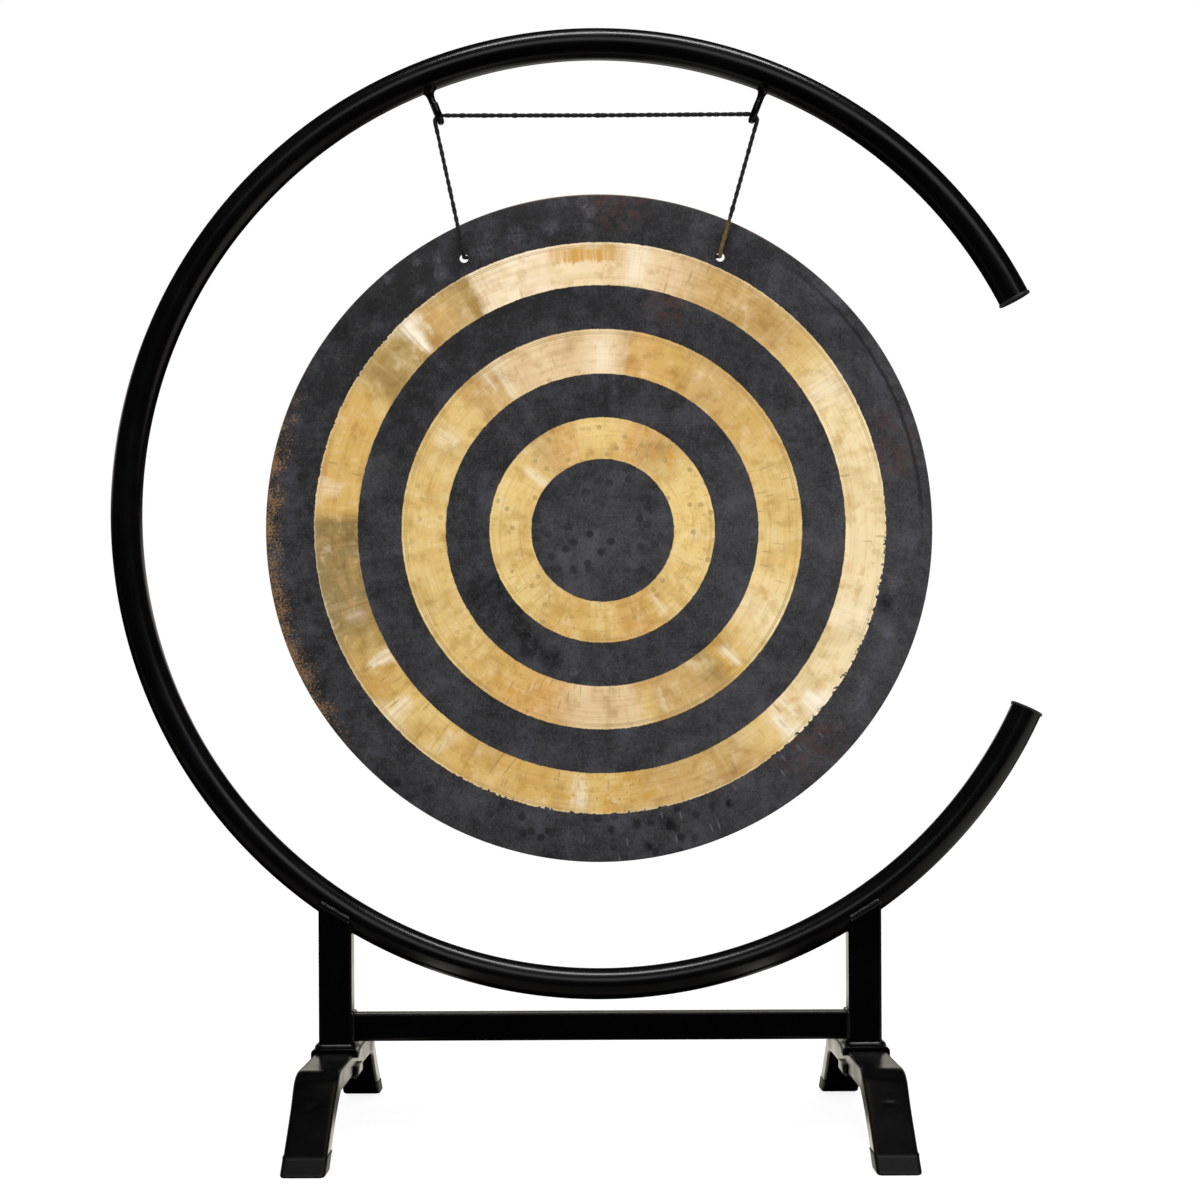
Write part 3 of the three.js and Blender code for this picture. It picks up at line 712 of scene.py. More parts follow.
def barPiece():
    y, z = roundedBox(bar["width"], bar["width"], bar["corner"], 6, 8).T
    x = np.linspace(-bar["end"], bar["end"], 120)[:, None]
    return surfaceObject("crossBar", placed(grid(x, y, bar["middle"] + z)))


for side, word in sides:
    settle(uprightPiece(side, word), "basePaint", "stand", "upright_" + word.lower())
    uprightBeads(side, word)
settle(barPiece(), "barPaint", "stand", "crossbar")


# Saddles and clamps
channel = {"inner": 36.6, "plate": 3.0, "corner": 4.0, "fillet": 1.0, "lip": 0.5, "length": 44.0}
saddle = {"height": 75.0, "depth": 8.0}
clamp = {"height": 48.4, "depth": 11.0}


# Channel: a bent plate's section (top, two rounded corners, two flanges) carried along Y. The
# end rows draw in a little, so that the cut ends are not knife-sharp.
def channelPiece(name, side, height, depth, facing):
    inner, plate = channel["inner"] / 2, channel["plate"]
    corner, fillet, lip = channel["corner"], channel["fillet"], channel["lip"]
    outer = inner + plate
    half = np.vstack([arc(outer - corner, -corner, corner, 90, 0, 9),
                      arc(outer - lip, lip - depth, lip, 0, -90, 5),
                      arc(inner + lip, lip - depth, lip, -90, -180, 5),
                      [(inner, -plate - fillet)],
                      arc(inner - fillet, -plate - fillet, fillet, 0, 90, 5)])
    section = np.vstack([half, (half * np.array([-1, 1]))[::-1]])
    run = np.roll(section, -1, axis=0) - np.roll(section, 1, axis=0)
    inwards = unit(np.stack([run[:, 1], -run[:, 0]], axis=-1))
    end, draw = channel["length"] / 2 - lip, quarter(5)
    y = np.concatenate([-end - lip * np.cos(draw), end + lip * np.sin(draw)])[:, None]
    shrink = lip * np.concatenate([1 - np.sin(draw), 1 - np.cos(draw)])[:, None, None]
    flat = section + shrink * inwards
    rows = grid(side * upright["offset"] + flat[..., 0], y, height + facing * flat[..., 1])
    return surfaceObject(name, placed(rows), sharp=40)


for side, word in sides:
    for size, facing, name, node in ((saddle, 1, "saddle", "saddle_"),
                                     (clamp, -1, "clampChannel", "clamp_channel_")):
        made = channelPiece(name + word, side, size["height"], size["depth"], facing)
        settle(made, "basePaint", "stand", node + word.lower())


# Legs and boots
leg = {"width": 36.0, "thick": 20.0, "corner": 2.7, "top": 71.7, "slope": 33.0, "reach": 156.5,
       "bend": 60.0, "bendStart": 135.77, "straight": 73.7, "sole": 3.3}
# pressed bend: the under wall buckles in, the side walls bulge, and the slope has a small dent
pressed = {"buckle": 1.6, "buckleAt": 152.0, "buckleLong": 10.0, "buckleWide": 10.0,
           "dent": 0.60, "dentAt": 187.0, "dentLong": 2.6, "dentX": 1.5, "dentWide": 6.0,
           "bulge": 0.9, "bulgeAt": 156.0, "bulgeLong": 24.0, "bulgeFrom": 8.0, "bulgeTo": 17.0}
boot = {"grow": 0.5, "inside": 0.15, "height": 14.7, "sole": 3.0, "rounding": 2.6, "rim": 0.4,
        "lip": 0.3, "lipBelow": 1.2, "lipWide": 0.7, "toe": 266.8, "toeSoft": 1.2}
legSlope = math.radians(leg["slope"])


def hump(value, middle, width):
    return np.exp(-((value - middle) / width) ** 2)


# The leg's middle line in Y and Z: flat, then a bend, then straight down to the floor.
def legLine():
    middle = leg["top"] - leg["thick"] / 2
    flat = np.linspace(0, leg["bendStart"], 60, endpoint=False)
    turn = np.append(np.linspace(0, legSlope, 48, endpoint=False), np.full(100, legSlope))
    run = np.append(np.zeros(48), np.linspace(0, leg["straight"], 100))
    bendY = leg["bendStart"] + leg["bend"] * np.sin(turn) + run * math.cos(legSlope)
    bendZ = middle - leg["bend"] * (1 - np.cos(turn)) - run * math.sin(legSlope)
    return np.append(flat, bendY), np.append(np.full(60, middle), bendZ)


# Leg: a rounded rectangle carried along the middle line and its mirror image, with the marks of
# the press, and cut level at the boots' floor.
def legPiece(side, word):
    y, z = legLine()
    y, z = np.append(-y[:0:-1], y), np.append(z[:0:-1], z)
    loop = roundedBox(leg["width"], leg["thick"], leg["corner"], 5, 14)
    across, away = loop[:, 0], np.abs(y)[:, None]
    rows = sweep(grid(0, y, z), loop, (1, 0, 0))
    lower = rows[..., 2] < z[:, None]
    buckle = hump(away, pressed["buckleAt"], pressed["buckleLong"])
    buckle = pressed["buckle"] * buckle * hump(across, 0, pressed["buckleWide"])
    dent = hump(away, pressed["dentAt"], pressed["dentLong"])
    dent = pressed["dent"] * dent * hump(across, pressed["dentX"], pressed["dentWide"])
    rows[..., 2] += np.where(lower, buckle, -dent)
    bulge = pressed["bulge"] * hump(away, pressed["bulgeAt"], pressed["bulgeLong"])
    outer = fade(np.abs(across), pressed["bulgeFrom"], pressed["bulgeTo"])
    rows[..., 0] += np.sign(across) * bulge * outer + side * upright["offset"]
    for place, way in ((0, -1), (-1, 1)):
        down = (rows[place][:, 2] - leg["sole"]) / math.sin(legSlope)
        rows[place][:, 1] += way * down * math.cos(legSlope)
        rows[place][:, 2] = leg["sole"]
    return surfaceObject("leg" + word, placed(rows))


# Boot: the leg's section, a little larger, cut level by level from the sole to its rim; then
# inside again from the rim down to the top of the sole. The sole's edge is rounded.
def bootPiece(name, side, way):
    outer, inner = (roundedBox(leg["width"] + 2 * grow, leg["thick"] + 2 * grow,
                               leg["corner"] + grow, 6, 14)
                    for grow in (boot["grow"], boot["inside"]))
    top, low, soft, turn = boot["height"], boot["rounding"], boot["rim"], quarter(8)
    wall = np.linspace(low, top - soft, 18)[1:-1]
    bore = np.linspace(top, boot["sole"], 14)
    outside = np.concatenate([low * (1 - np.cos(turn)), wall, top - soft + soft * np.sin(turn)])
    drawnIn = np.concatenate([low * (1 - np.sin(turn)), 0 * wall, soft * (1 - np.cos(turn))])
    drawnIn = drawnIn - boot["lip"] * hump(outside, top - boot["lipBelow"], boot["lipWide"])
    height = np.append(outside, bore)[:, None]
    less = np.append(drawnIn, 0 * bore)[:, None]
    loops = np.stack([outer] * len(outside) + [inner] * len(bore))
    x = loops[..., 0] * (1 - 2 * less / leg["width"])
    across = loops[..., 1] * (1 - 2 * less / leg["thick"])
    y = leg["reach"] + (leg["top"] - height) / math.tan(legSlope)
    y = y + (across - leg["thick"] / 2) / math.sin(legSlope)
    over = np.clip(y - boot["toe"], 0, None)
    y = y - over + boot["toeSoft"] * np.tanh(over / boot["toeSoft"])
    rows = grid(side * upright["offset"] + x, way * y, height)
    return surfaceObject(name, placed(rows), sharp=45)


for side, word in sides:
    settle(legPiece(side, word), "basePaint", "stand", "leg_" + word.lower())
    for way, end in ((-1, "Front"), (1, "Back")):
        settle(bootPiece("boot" + end + word, side, way), "rubber", "stand",
               "foot_boot_" + end.lower() + "_" + word.lower())
    for node in ("leg_bolt_", "bolt_washer_", "weld_nut_"):
        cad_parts[node + word.lower()].material_slots[0].material = finishes["zinc"][1]
print("stand made")


# Gong
gong = {"height": 546.6, "radius": 304.5, "shift": 1.2, "thick": 1.5, "depth": -8.0,
        "curl": 4.5, "curlWidth": 26.0, "around": 320, "edge": 303.4, "roundEdge": 0.6,
        "step": 0.14, "stepSoft": 0.9, "dents": 240, "dent": 0.16, "dentReach": 300,
        "calmFrom": 296.0, "edges": (64.95, 102.4, 142.2, 182.05, 221.95, 260.0),
        "holeX": (-120.6, 112.2), "holeZ": 792.1, "hole": 8.0}
gongCentre = placed((gong["shift"], 0, gong["height"]))
# The lathe's centre wandered a little between the bands, so each radius has a centre of its own:
# radius, right, down.
centres = [(0, 3.0, 2.3), (70, 3.0, 2.3), (97, 2.6, 2.0), (147, 2.6, 2.0), (177, 2.4, 1.3),
           (187, 2.4, 1.3), (216, 2.1, 1.3), (227, 2.1, 1.3), (255, 0.7, 0.35), (266, 0.7, 0.35),
           (285, 0, 0), (300, 0, 0)]


# Depth of the face: lathed bands lie a hair deeper, hammer marks are soft round dents, and the
# whole sheet waves slightly.
def gongRelief(x, z, seed):
    place, right, down = zip(*centres)
    radius, soft = np.hypot(x, z), gong["stepSoft"]
    banded = np.hypot(x - np.interp(radius, place, right), z + np.interp(radius, place, down))
    lathed = np.zeros_like(banded)
    for low, high in zip(gong["edges"][::2], gong["edges"][1::2]):
        lathed += fade(banded, low - soft, low + soft) * (1 - fade(banded, high - soft, high + soft))
    depth = gong["step"] * lathed
    depth += 0.10 * ripples(x, z, 46.0, seed) + 0.035 * ripples(x, z, 17.0, seed + 1)
    depth += 0.10 * lathed * ripples(0.2 * x, 0.2 * z, 11.0, seed + 2)
    dice, dents = np.random.default_rng(seed + 3), gong["dents"]
    away = gong["dentReach"] * np.sqrt(dice.uniform(0.0, 1, dents))
    turn = dice.uniform(0, 2 * math.pi, dents)
    size = dice.uniform(3.0, 8.0, dents)
    strength = gong["dent"] * dice.uniform(0.3, 1.0, dents) * np.where(away > 262, 1.5, 0.6)
    for px, pz, s, d in zip(away * np.cos(turn), away * np.sin(turn), size, strength):
        close = np.abs(x - px) + np.abs(z - pz) < 4 * s
        near = (x[close] - px) ** 2 + (z[close] - pz) ** 2
        depth[close] += d * np.exp(-near / (s * s))
    return depth


# One face on a polar grid of radii; facing is -1 in front and 1 behind.
def gongFace(radii, facing, seed, angle, uneven):
    radii = radii[:, None]
    x, z = radii * uneven * np.cos(angle), radii * uneven * np.sin(angle)
    share = np.clip((radii - gong["radius"] + gong["curlWidth"]) / gong["curlWidth"], 0, 1)
    calm = (1 - fade(radii, gong["calmFrom"], gong["edge"])) * (1 if facing < 0 else 0.8)
    lift = gong["thick"] / 2 - gongRelief(x, z, seed) * calm
    return grid(x, gong["depth"] + gong["curl"] * share ** 2 + facing * lift, z)


# Disc: out over the front, round the edge, and back in over the rear, with two drilled holes.
def gongPiece():
    angle = fullTurn(gong["around"])[None, :]
    rim = gong["edge"]
    frontR = np.append(np.linspace(2, 276, 168), np.linspace(277.5, rim, 22))
    backR = np.append(np.linspace(rim, 277.5, 14), np.linspace(274, 2, 74))
    uneven = 1 + 0.0007 * ripples(60 * np.cos(angle), 60 * np.sin(angle), 45.0, 71)
    swing = np.linspace(-math.pi / 2, math.pi / 2, 7)[1:-1, None]
    edgeR = rim * uneven + gong["roundEdge"] * np.cos(swing)
    edgeY = gong["depth"] + gong["curl"] + gong["thick"] / 2 * np.sin(swing)
    rows = np.concatenate([gongFace(frontR, -1, 81, angle, uneven),
                           grid(edgeR * np.cos(angle), edgeY, edgeR * np.sin(angle)),
                           gongFace(backR, 1, 91, angle, uneven)])
    piece = surfaceObject("gongDisc", mm(rows) + gongCentre, sharp=50)
    across, up = circle(gong["hole"] / 2, fullTurn(40)).T
    depth = np.array([-14.0, 0.0])[:, None]
    cutters = [surfaceObject("drill", placed(grid(x + across, depth, gong["holeZ"] + up)))
               for x in gong["holeX"]]
    joinPieces(cutters[0], cutters[1:])
    cut = piece.modifiers.new("holes", "BOOLEAN")
    cut.operation = "DIFFERENCE"
    cut.solver = "EXACT"
    cut.object = cutters[0]
    bpy.context.view_layer.update()
    done = piece.evaluated_get(bpy.context.evaluated_depsgraph_get())
    done = bpy.data.meshes.new_from_object(done)
    piece.modifiers.clear()
    piece.data = done
    bpy.data.objects.remove(cutters[0])
    done.set_sharp_from_angle(angle=math.radians(50))
    return piece


brass = {"glint": (1.0, 0.91, 0.73), "bright": (0.92, 0.75, 0.45), "pale": (0.92, 0.74, 0.43),
         "blush": (0.88, 0.68, 0.42), "rose": (0.97, 0.80, 0.58), "pink": (0.78, 0.57, 0.33),
         "light": (0.84, 0.61, 0.235), "straw": (0.76, 0.54, 0.20), "gold": (0.69, 0.44, 0.13),
         "orange": (0.71, 0.42, 0.14), "tan": (0.62, 0.40, 0.15), "olive": (0.44, 0.30, 0.10),
         "brown": (0.32, 0.22, 0.085), "amber": (0.62, 0.34, 0.06),
         "rusty": (0.45, 0.21, 0.05), "worn": (0.82, 0.76, 0.64)}
scale = {"low": (0.017, 0.0166, 0.0182), "high": (0.060, 0.0585, 0.063),
         "blue": (0.105, 0.107, 0.135), "rust": (0.25, 0.135, 0.055),
         "red": (0.085, 0.034, 0.024), "black": (0.008, 0.008, 0.009),
         "edge": (0.30, 0.20, 0.10)}
# How each lathed band's tone runs round it, partly its own colour and partly painted reflection in
# the grooves: degrees from the right, counter-clockwise.
outerToneAndSheen = [(0, "pale"), (24, "pale"), (37, "straw"), (46, "tan"), (66, "tan"), (73, "pink"),
              (81, "blush"), (94, "blush"), (104, "rose"), (116.6, "rose"), (118, "olive"),
              (127, "tan"), (131.5, "tan"), (134.8, "olive"), (147, "olive"), (151, "gold"),
              (176.5, "gold"), (178.2, "brown"), (199, "brown"), (204, "olive"), (214, "gold"),
              (226, "straw"), (240, "gold"), (260, "gold"), (266, "straw"), (274, "gold"),
              (284, "tan"), (302, "tan"), (309, "straw"), (315, "bright"), (328, "bright"),
              (360, "pale")]
middleToneAndSheen = [(0, "straw"), (20, "straw"), (34, "gold"), (52, "tan"), (66, "gold"),
               (79, "orange"), (81.5, "pink"), (89, "blush"), (100, "pink"), (122, "pink"),
               (124.5, "tan"), (135, "tan"), (137.5, "straw"), (150, "straw"), (182, "straw"),
               (222, "straw"), (234, "gold"), (252, "orange"), (264, "pink"), (280, "pink"),
               (286, "straw"), (288, "tan"), (301, "tan"), (309, "olive"), (313, "gold"),
               (320, "straw"), (332, "pale"), (348, "light"), (360, "straw")]
innerToneAndSheen = [(0, "light"), (30, "light"), (42, "straw"), (54, "tan"), (68, "orange"),
              (84, "light"), (97, "light"), (110, "orange"), (127, "tan"), (139, "straw"),
              (152, "light"), (178, "straw"), (205, "light"), (232, "straw"), (250, "gold"),
              (272, "straw"), (290, "orange"), (304, "gold"), (314, "straw"), (330, "light"),
              (360, "light")]
# Painted highlights, bright streaks across the bands: degrees, half width in degrees, how much wider
# they are at the outer end, first and last radius in mm, strength.
glints = [(133.2, 2.0, 0.7, 222, 262, 0.90), (130.4, 0.7, 0.3, 232, 256, 0.5),
          (210.6, 1.5, -0.6, 219, 247, 0.75), (221.8, 2.8, 0.6, 230, 262, 0.50),
          (199.7, 1.5, -0.2, 228, 247, 0.25), (171.2, 2.3, 0.5, 236, 261, 0.35),
          (81.5, 2.6, 0.2, 222, 262, 0.55), (31, 6.0, 0.2, 220, 262, 0.45),
          (265.5, 2.4, 0.3, 222, 258, 0.5), (313.0, 1.9, 0.4, 226, 262, 0.8),
          (320.8, 2.8, 0.5, 236, 262, 1.0), (316.6, 1.0, -0.3, 220, 250, 0.5),
          (234.0, 1.4, 0.0, 226, 256, 0.3), (340.0, 5.0, 0.3, 222, 262, 0.35),
          (315.7, 2.0, -0.3, 150, 178, 0.55), (122.2, 1.9, 0.3, 144, 182, 0.45),
          (126.2, 1.6, 0.3, 156, 182, 0.4), (89.0, 5.0, -0.4, 142, 176, 0.35),
          (149.0, 4.0, 0.0, 150, 176, 0.35), (290.0, 0.8, 0.0, 150, 178, 0.4),
          (140.5, 4.2, -0.5, 62, 92, 0.5), (308.0, 2.2, 0.5, 74, 97, 0.3)]
# Long scratches: right and up of the disc's middle, degrees, length, width.
scratches = [(-92, -210, 55, 40, 2.2), (-82, -216, 51, 26, 2.0), (-86, -205, 35, 14, 2.6),
             (-38, -226, 80, 12, 2.0), (-20, -233, 86, 11, 2.0), (7, -234, 88, 12, 2.4)]
# Marks of the hammer in the scale, and its reddish places: right, up, size.
palePeens = [(-8, 289, 9), (-43, 272, 11), (-75, 267, 12), (-102, 253, 13), (-144, 232, 9),
             (-145, 244, 6), (-165, 241, 6), (-191, 227, 7), (-161, 216, 7), (239, -141, 13),
             (262, -95, 10), (235, -158, 13), (216, -181, 8), (269, -51, 10), (-24, -132, 5)]
darkPeens = [(10, -275, 7), (33, -270, 6), (43, -290, 7), (62, -270, 9), (118, -251, 6),
             (260, -70, 12), (-265, -64, 6), (-186, -232, 6), (-235, 180, 15),
             (-205, 202, 12), (-270, 48, 8), (-92, -53, 17), (-77, -72, 14), (-111, -64, 15),
             (-118, -112, 16), (-62, -108, 17), (-45, -118, 15), (-70, -92, 14)]
redPlaces = [(18, 297, 42), (264, 71, 44), (187, -193, 52), (70, 208, 40), (232, -30, 30),
             (-76, 258, 9)]


# A round patch about a point of the disc.
def patch(flat, right, up, size):
    away = flat.node("ShaderNodeVectorMath", {"operation": "DISTANCE"},
                     {0: flat, 1: (right / 1000, 0, up / 1000)}, output=1)
    return eased(away, size / 1000, size / 4000)


def toned(turn, tones):
    stops = [(degrees / 360, opaque(brass[name])) for degrees, name in tones]
    return turn.node("ShaderNodeValToRGB", {"stops": stops}, {"Fac": turn})


# Tones laid over a colour one after the other: where, how much, which. The worn tone darkens.
def layered(color, tones, layers):
    for mask, amount, name in layers:
        color = (shaded if name == "worn" else blended)(mask * amount, color, tones[name])
    return color


# The disc as its patterns see it: x to the right, z up, the radius, and the radius from each
# lathed band's own centre, as in the mesh.
class Disc:
    def __init__(self, point):
        place = point.node("ShaderNodeMapping", None,
                           {"Vector": point, "Location": (-gongCentre[0], 0.008, -gongCentre[2])})
        self.x, _, self.z = separated(place)
        self.none = 0.0 * self.x
        self.radius = (self.x * self.x + self.z * self.z) ** 0.5
        self.nx, self.nz = self.x / self.radius, self.z / self.radius
        self.flat = combined(self.x, self.none, self.z)
        self.face = combined(self.x, self.z, self.none)
        stops = [(radius / 300, (right / 4, down / 4, 0, 1)) for radius, right, down in centres]
        moved = self.radius.node("ShaderNodeValToRGB", {"stops": stops},
                                 {"Fac": self.radius / 0.3})
        right, down, _ = separated(moved)
        ownX, ownZ = self.x - right * 0.004, self.z + down * 0.004
        self.banded = (ownX * ownX + ownZ * ownZ) ** 0.5
        self.steady = self.z.math("ARCTAN2", self.z, self.x) / (2 * math.pi) + 1.0

    # a sector: 1 at the angle, easing to 0 at its half width
    def sector(self, degrees, halfWidth):
        aim, half = math.radians(degrees), math.radians(halfWidth)
        toward = self.nx * math.cos(aim) + self.nz * math.sin(aim)
        return eased(toward, math.cos(half), math.cos(half * 0.25))

    # noise stretched across or along the bands
    def drawn(self, around, outward, *texture):
        place = combined(self.nx * around, self.banded * outward, self.nz * around)
        return noise(place, 1.0, *texture)

    # noise in thin rings
    def lathed(self, wander, *texture):
        return noise(combined(self.banded * 1.0, self.nx * wander, self.nz * wander), *texture)

    def patches(self, flat, places):
        return sum((patch(flat, *place) for place in places), self.none)

    # a straight scratch through a point
    def scratch(self, right, up, degrees, length, width):
        aim = math.radians(degrees)
        dx, dz = self.x - right / 1000, self.z - up / 1000
        along = dx * math.cos(aim) + dz * math.sin(aim)
        beside = dz * math.cos(aim) - dx * math.sin(aim)
        return (eased(abs(beside), width / 2000, width / 8000)
                * eased(abs(along), length / 2000, length / 3500))


# The lathe's edges: nearly clean, with chips on the outer band's outer edge.
def bandMasks(disc):
    flat, banded = disc.flat, disc.banded
    ragged = (noise(flat, 150.0, 3.0, 0.6) - 0.5) * 0.0016
    ragged = ragged + (noise(flat, 620.0, 3.0, 0.6) - 0.5) * 0.0010
    chipPlace = 0.3 * disc.sector(152, 30) + disc.sector(334, 34) + 0.6 * disc.sector(262, 30)
    chips = clouds(0.48, 0.64, flat, 210.0, 4.0, 0.65) * (chipPlace + 0.1)
    wobble = banded + ragged + chips * eased(banded, 0.250, 0.259) * 0.0034
    edges, soft = [edge / 1000 for edge in gong["edges"]], 0.0003
    masks = [eased(wobble, low - soft, low + soft) * (1 - eased(wobble, high - soft, high + soft))
             for low, high in zip(edges[::2], edges[1::2])]
    return edges, abs(wobble - edges[5]), masks


# Tones of the brass, with the streaks that the lathe and the hand left. The tone round each band is
# partly its own colour and partly painted reflection, and the glints are painted highlights.
def brassTones(disc, masks, turn, streaks, broad, soft, lathe):
    inner, middle, outer = masks
    drawn = disc.drawn(8.0, 36.0, 4.0, 0.6, 0.4)
    latheWide = disc.lathed(0.004, 330.0, 3.0, 0.6)
    # band tones: own colour with painted reflection, by angle round each band
    color = blended(middle, toned(turn, innerToneAndSheen), toned(turn, middleToneAndSheen))
    color = blended(outer, color, toned(turn, outerToneAndSheen))
    color = layered(color, brass, [
        (eased(drawn, 0.50, 0.68), 0.28, "pale"), (eased(drawn, 0.47, 0.32), 0.40, "orange"),
        (eased(soft, 0.50, 0.36), 0.90, "worn"),
        (clouds(0.50, 0.36, disc.flat, 24.0, 3.0), 0.80, "worn"),
        (eased(soft, 0.54, 0.68), 0.40, "blush"),
        (eased(streaks, 0.46, 0.30) * eased(broad, 0.42, 0.58), 0.6, "worn"),
        (eased(streaks, 0.54, 0.70), 0.15, "bright"),
        (eased(latheWide, 0.50, 0.34), 0.40, "worn"), (eased(lathe, 0.50, 0.36), 0.45, "worn")])
    # painted highlights: the glints, combed into radial streaks
    comb = eased(disc.drawn(90.0, 8.0, 3.0, 0.6), 0.40, 0.58)
    for degrees, half, wider, low, high, amount in glints:
        out = (disc.banded * 1000.0 - (low + high) / 2) / ((high - low) / 2)
        away = abs(turn * 360.0 - degrees) * (1 - wider * out)
        mask = eased(away, half * 1.3, 0.0) * eased(abs(out), 1.15, 0.55) * (0.50 + 0.6 * comb)
        color = blended(mask * amount, color, brass["glint"])
    return layered(color, brass, [(disc.scratch(*place), 0.55, "brown") for place in scratches])


# Marks on the brass: stains at the top, mottles and pits at the bottom and inside, radial tool
# marks, round punch marks, dark turned lines near each band's outer margin, and a painted highlight
# along the outer band's outer edge.
def brassMarks(disc, color, masks, edges, margin, dashes, broad, soft):
    flat, banded, sector = disc.flat, disc.banded, disc.sector
    inner, middle, outer = masks
    strokes = disc.drawn(90.0, 22.0, 3.0, 0.6)
    stain = sector(92.5, 9.5) * eased(banded + (strokes - 0.5) * 0.015, 0.2425, 0.2455)
    stain = stain * (1 - eased(banded + (soft - 0.5) * 0.012, 0.253, 0.259))
    mottle = clouds(0.50, 0.66, flat, 85.0, 5.0, 0.65)
    place = sector(272, 22) * outer + sector(240, 20) * middle
    place = place + sector(52, 22) * inner + 0.5 * sector(275, 40) * inner
    pits = clouds(0.57, 0.66, flat, 190.0, 4.0, 0.7) * eased(soft, 0.46, 0.56)
    marks = eased(dashes, 0.105, 0.055) * clouds(0.47, 0.57, flat, 11.0, 2.0)
    punches = spots(disc.face, 58.0)
    punchPlace = inner * clouds(0.44, 0.52, flat, 34.0, 2.0)
    punchPlace = punchPlace + middle * 0.7 * clouds(0.56, 0.64, flat, 16.0, 2.0)
    punched = eased(punches, 0.140, 0.100) * punchPlace
    rimmed = eased(abs(punches - 0.115), 0.035, 0.010) * punchPlace
    turned = disc.none
    for high, strength in ((edges[1], 0.35), (edges[3], 0.85), (edges[5], 0.70)):
        for inset in (0.0026, 0.0041):
            line = eased(abs(banded - (high - inset)), 0.00045, 0.0001)
            turned = turned + line * strength * eased(broad, 0.36, 0.54)
    color = layered(color, brass, [
        (stain, 0.55 + 0.40 * eased(strokes, 0.36, 0.58), "amber"),
        (mottle * (place + 0.10), 0.85, "amber"), (pits * (place + 0.06), 0.8, "rusty"),
        (marks, 0.50, "brown"), (punched, 0.70, "olive"),
        (rimmed * (0.3 + 0.7 * mottle), 0.75, "brown"), (turned, 1.0, "brown"),
        # painted highlight along the outer band's outer edge
        (eased(margin, 0.0012, 0.0004) * outer, 0.3, "glint")])
    return color, 0.8 * punched + 0.6 * marks


# Forging scale: a cloudy dark grey with hammer marks of uneven outline, smuts, specks and
# scratches, rust that thickens to the left edge, and the rolled edge, worn to the metal. Painted
# shade makes it lighter to the right, and a painted dark line lies where the rim curls back.
def scaleColor(disc, cloud, mid, grain, dashes):
    flat, face, sector, radius = disc.flat, disc.face, disc.sector, disc.radius
    rim = eased(disc.banded, 0.258, 0.266)
    # painted shade: lighter to the right, where the light came from; also darker towards the top
    level = 0.26 + 0.36 * eased(disc.x, -0.30, 0.32) - 0.30 * eased(disc.z, -0.05, 0.28)
    level = level + 1.0 * (cloud - 0.5) + 1.4 * (mid - 0.5) + 2.0 * (grain - 0.5)
    level = level + 1.2 * (noise(flat, 170.0, 3.0, 0.65) - 0.5) + 0.25 * patch(flat, 0, 0, 74)
    loose = combined(disc.x + (mid - 0.5) * 0.012, disc.none, disc.z + (cloud - 0.5) * 0.012)
    peens = eased(spots(face, 44.0, 0.9), 0.34, 0.18) * clouds(0.46, 0.60, flat, 19.0, 2.0)
    palePlace = sector(112, 34) + sector(322, 34) + 0.3
    pale = 0.42 * disc.patches(loose, palePeens) + 0.22 * peens * palePlace * rim
    pebbles = clouds(0.42, 0.60, flat, 300.0, 4.0, 0.7)
    smuts = eased(spots(face, 58.0), 0.26, 0.15) * clouds(0.44, 0.56, flat, 22.0, 2.0)
    smutPlace = 0.8 * sector(272, 34) * rim + 0.8 * patch(flat, 0, 0, 90) + 0.25
    flecks = clouds(0.38, 0.60, flat, 150.0, 4.0, 0.7)
    deep = 0.95 * disc.patches(loose, darkPeens) * (0.35 + 0.65 * flecks)
    deep = deep + 0.60 * smuts * smutPlace
    specks = eased(spots(face, 190.0), 0.20, 0.08) * clouds(0.50, 0.62, flat, 40.0, 2.0)
    scratched = eased(dashes, 0.080, 0.035) * sector(295, 40)
    cover = eased(radius, 0.281, 0.304) * sector(188, 38)
    rust = noise(flat, 560.0, 3.0, 0.72) + 0.50 * (mid - 0.5) + 0.17 * cover
    rust = eased(rust, 0.61, 0.69) * eased(cover, 0.02, 0.25)
    reddish = clouds(0.42, 0.62, flat, 90.0, 4.0, 0.65)
    # painted shade: a dark line where the rim starts to curl back, facing away from the light
    curlShade = eased(abs(radius - 0.2935 + (mid - 0.5) * 0.004), 0.0026, 0.0006) * sector(27, 34)
    wornEdge = 0.12 + sector(78, 40) + sector(160, 30)
    dark = layered(blended(level, scale["low"], scale["high"]), scale, [
        (clouds(0.48, 0.68, flat, 26.0, 4.0, 0.65), 0.22, "blue"),
        (pale, 0.20 + 0.95 * pebbles, "blue"), (deep, 0.6 + 0.8 * mid, "black"),
        (specks, 0.5, "black"), (scratched * rim, 0.8, "blue"), (rust, 0.85, "rust"),
        *((patch(flat, *spot) * reddish, 0.50, "red") for spot in redPlaces),
        (curlShade, 0.7, "black"), (eased(radius, 0.3028, 0.3042) * wornEdge, 0.7, "edge")])
    return dark, deep


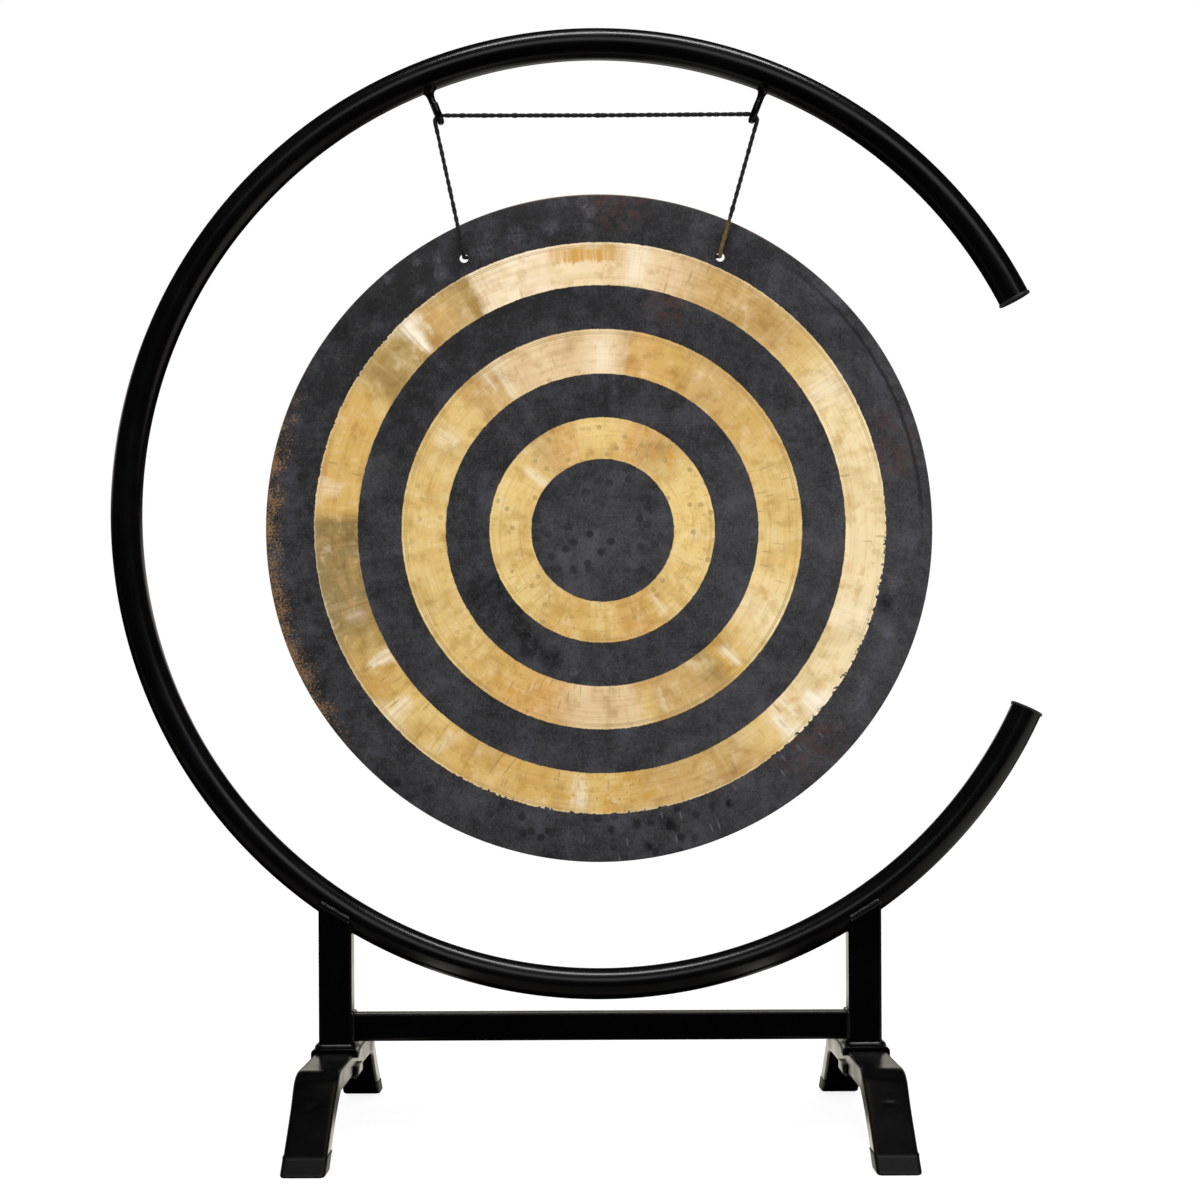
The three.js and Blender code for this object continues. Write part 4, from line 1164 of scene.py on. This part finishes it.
# The directions round the disc are in turns, shaken so that a tone's edge is ragged.
def gongFinish():
    material, point = newFinish("gongBronze")
    disc = Disc(point)
    edges, margin, masks = bandMasks(disc)
    shake, shiver = disc.drawn(4.0, 55.0, 3.0, 0.6), disc.drawn(30.0, 240.0, 3.0, 0.65)
    turn = disc.steady + (shake - 0.5) * 0.008 + (shiver - 0.5) * 0.004
    turn = turn.math("FRACT", turn)
    streaks = disc.drawn(34.0, 6.0, 4.0, 0.62)
    broad = noise(combined(disc.nx, disc.radius * 6.0, disc.nz), 2.3, 3.0, 0.55)
    lathe = disc.lathed(0.002, 1300.0, 3.0, 0.7)
    soft = noise(disc.flat, 62.0, 5.0, 0.62)
    dashes = spots(combined(disc.steady * 130.0, disc.banded * 15.0, disc.none), 1.0)
    cloud = noise(disc.flat, 13.0, 5.0, 0.6, 0.3)
    mid = noise(disc.flat, 58.0, 4.0, 0.62)
    grain = noise(disc.flat, 480.0, 4.0, 0.7)
    color = brassTones(disc, masks, turn, streaks, broad, soft, lathe)
    color, sunk = brassMarks(disc, color, masks, edges, margin, dashes, broad, soft)
    dark, deep = scaleColor(disc, cloud, mid, grain, dashes)
    bright = masks[0] + masks[1] + masks[2]
    bare = 1 - bright
    rough = (0.36 + 0.12 * broad + 0.10 * streaks) * bright + (0.58 + 0.15 * cloud) * bare
    height = bright * (0.6 * lathe + 0.8 * streaks - sunk)
    height = height + bare * (0.8 * grain + 1.0 * mid - 1.2 * deep)
    return endFinish(material, blended(bright, dark, color), rough, height, 0.00012, 0.25,
                     Metallic=0.12 * bright + 0.05 * bare)


finishes["gong"] = ("gong_bronze", gongFinish())
settle(gongPiece(), "gong", "gong", "gong_disc")
print("gong made")


# Studio
white = (1, 1, 1)
warm = (1.0, 0.95, 0.82)
floor = {"reach": 9.0, "lit": (0.9, 0.9, 0.9), "dim": (0.62, 0.62, 0.62), "glow": 1.07,
         "share": 0.80}


# Floor: white to the camera with the object's shadow, and grey to plain light. In mirror view
# only parts of it are bright: strips inside the legs, a place far behind and one to the right.
def floorFinish():
    material, point = newFinish("studioFloor")
    across, depth, _ = separated(point)
    direct = point.node("ShaderNodeLightPath")
    mirror = Wire(point.tree, direct.socket.node.outputs["Is Glossy Ray"])

    def light(kind, color, **values):
        return point.node("ShaderNode" + kind, None, {"Color": opaque(color), **values})

    def stretch(value, low, lowEnd, high, highEnd):
        return eased(value, low, lowEnd) * (1 - eased(value, high, highEnd))

    side = abs(across - standX)
    lean = side - 0.05 * (1 - eased(depth, 0.12, 0.35))
    strip = eased(lean, 0.11, 0.15) * (1 - eased(side, 0.2185, 0.2235))
    strip = strip * stretch(depth, -0.45, -0.32, 0.80, 1.10)
    strip = strip * (1 - 0.55 * stretch(depth, -0.02, 0.10, 0.26, 0.42))
    rear = (1 - eased(side, 0.25, 0.40)) * stretch(depth, 0.95, 1.25, 2.6, 3.2)
    right = eased(across, 0.40, 0.80) * stretch(depth, -1.2, -0.6, 0.35, 0.80)
    below = stretch(depth, -0.6, -0.2, -0.02, 0.06)
    level = 1.25 * strip + 1.1 * rear + 0.5 * right + 0.12 * below
    lit, glow = light("BsdfDiffuse", floor["lit"]), light("Emission", white, Strength=floor["glow"])
    seen = point.node("ShaderNodeMixShader", None, {0: floor["share"], 1: lit, 2: glow})
    sheen = light("Emission", warm, Strength=level)
    endTree(mixed(direct, mixed(mirror, light("BsdfDiffuse", floor["dim"]), sheen), seen))
    return material


reach = floor["reach"]
floorMesh = bpy.data.meshes.new("studioFloor")
floorMesh.from_pydata([(-reach, -reach, 0), (reach, -reach, 0), (reach, reach, 0),
                       (-reach, reach, 0)], [], [(0, 1, 2, 3)])
floorMesh.materials.append(floorFinish())
linked("studioFloor", floorMesh)


# World: white to the camera; for reflections a warm wall low behind the object and nearly black
# elsewhere; plain white light for everything else.
def studioWorld():
    world = bpy.data.worlds.new("studio")
    bpy.context.scene.world = world
    world.use_nodes = True
    tree = world.node_tree
    tree.nodes.clear()
    start = Wire(tree, tree.nodes.new("ShaderNodeTexCoord").outputs["Generated"])
    _, y, z = separated(start)
    wall = eased(y, 0.35, 0.75) * eased(z, 0.112, 0.145) * eased(z, 0.34, 0.24)
    direct = start.node("ShaderNodeLightPath")
    glossy = Wire(tree, direct.socket.node.outputs["Is Glossy Ray"])
    plain = start.node("ShaderNodeBackground", None,
                       {"Color": opaque(white), "Strength": 1.05 * (1 - direct) + direct})
    mirror = start.node("ShaderNodeBackground", None,
                        {"Color": opaque(warm), "Strength": 0.006 + 1.1 * wall})
    endTree(mixed(glossy, plain, mirror), "ShaderNodeOutputWorld")


def lamp(name, place, aim, width, height, power):
    data = bpy.data.lights.new(name, "AREA")
    data.shape = "RECTANGLE"
    data.size = width
    data.size_y = height
    data.energy = power
    made = linked(name, data)
    made.location = place
    made.rotation_euler = (Vector(aim) - Vector(place)).to_track_quat("-Z", "Y").to_euler()


studioWorld()
lamp("overheadLamp", (0.30, -0.75, 4.4), (0.02, 0, 0.5), 2.8, 0.42, 79)
lamp("frontLamp", (0.9, -3.9, 2.9), (0.02, 0, 0.5), 4.4, 1.6, 28)

scene = bpy.context.scene
scene.view_settings.view_transform = "Standard"
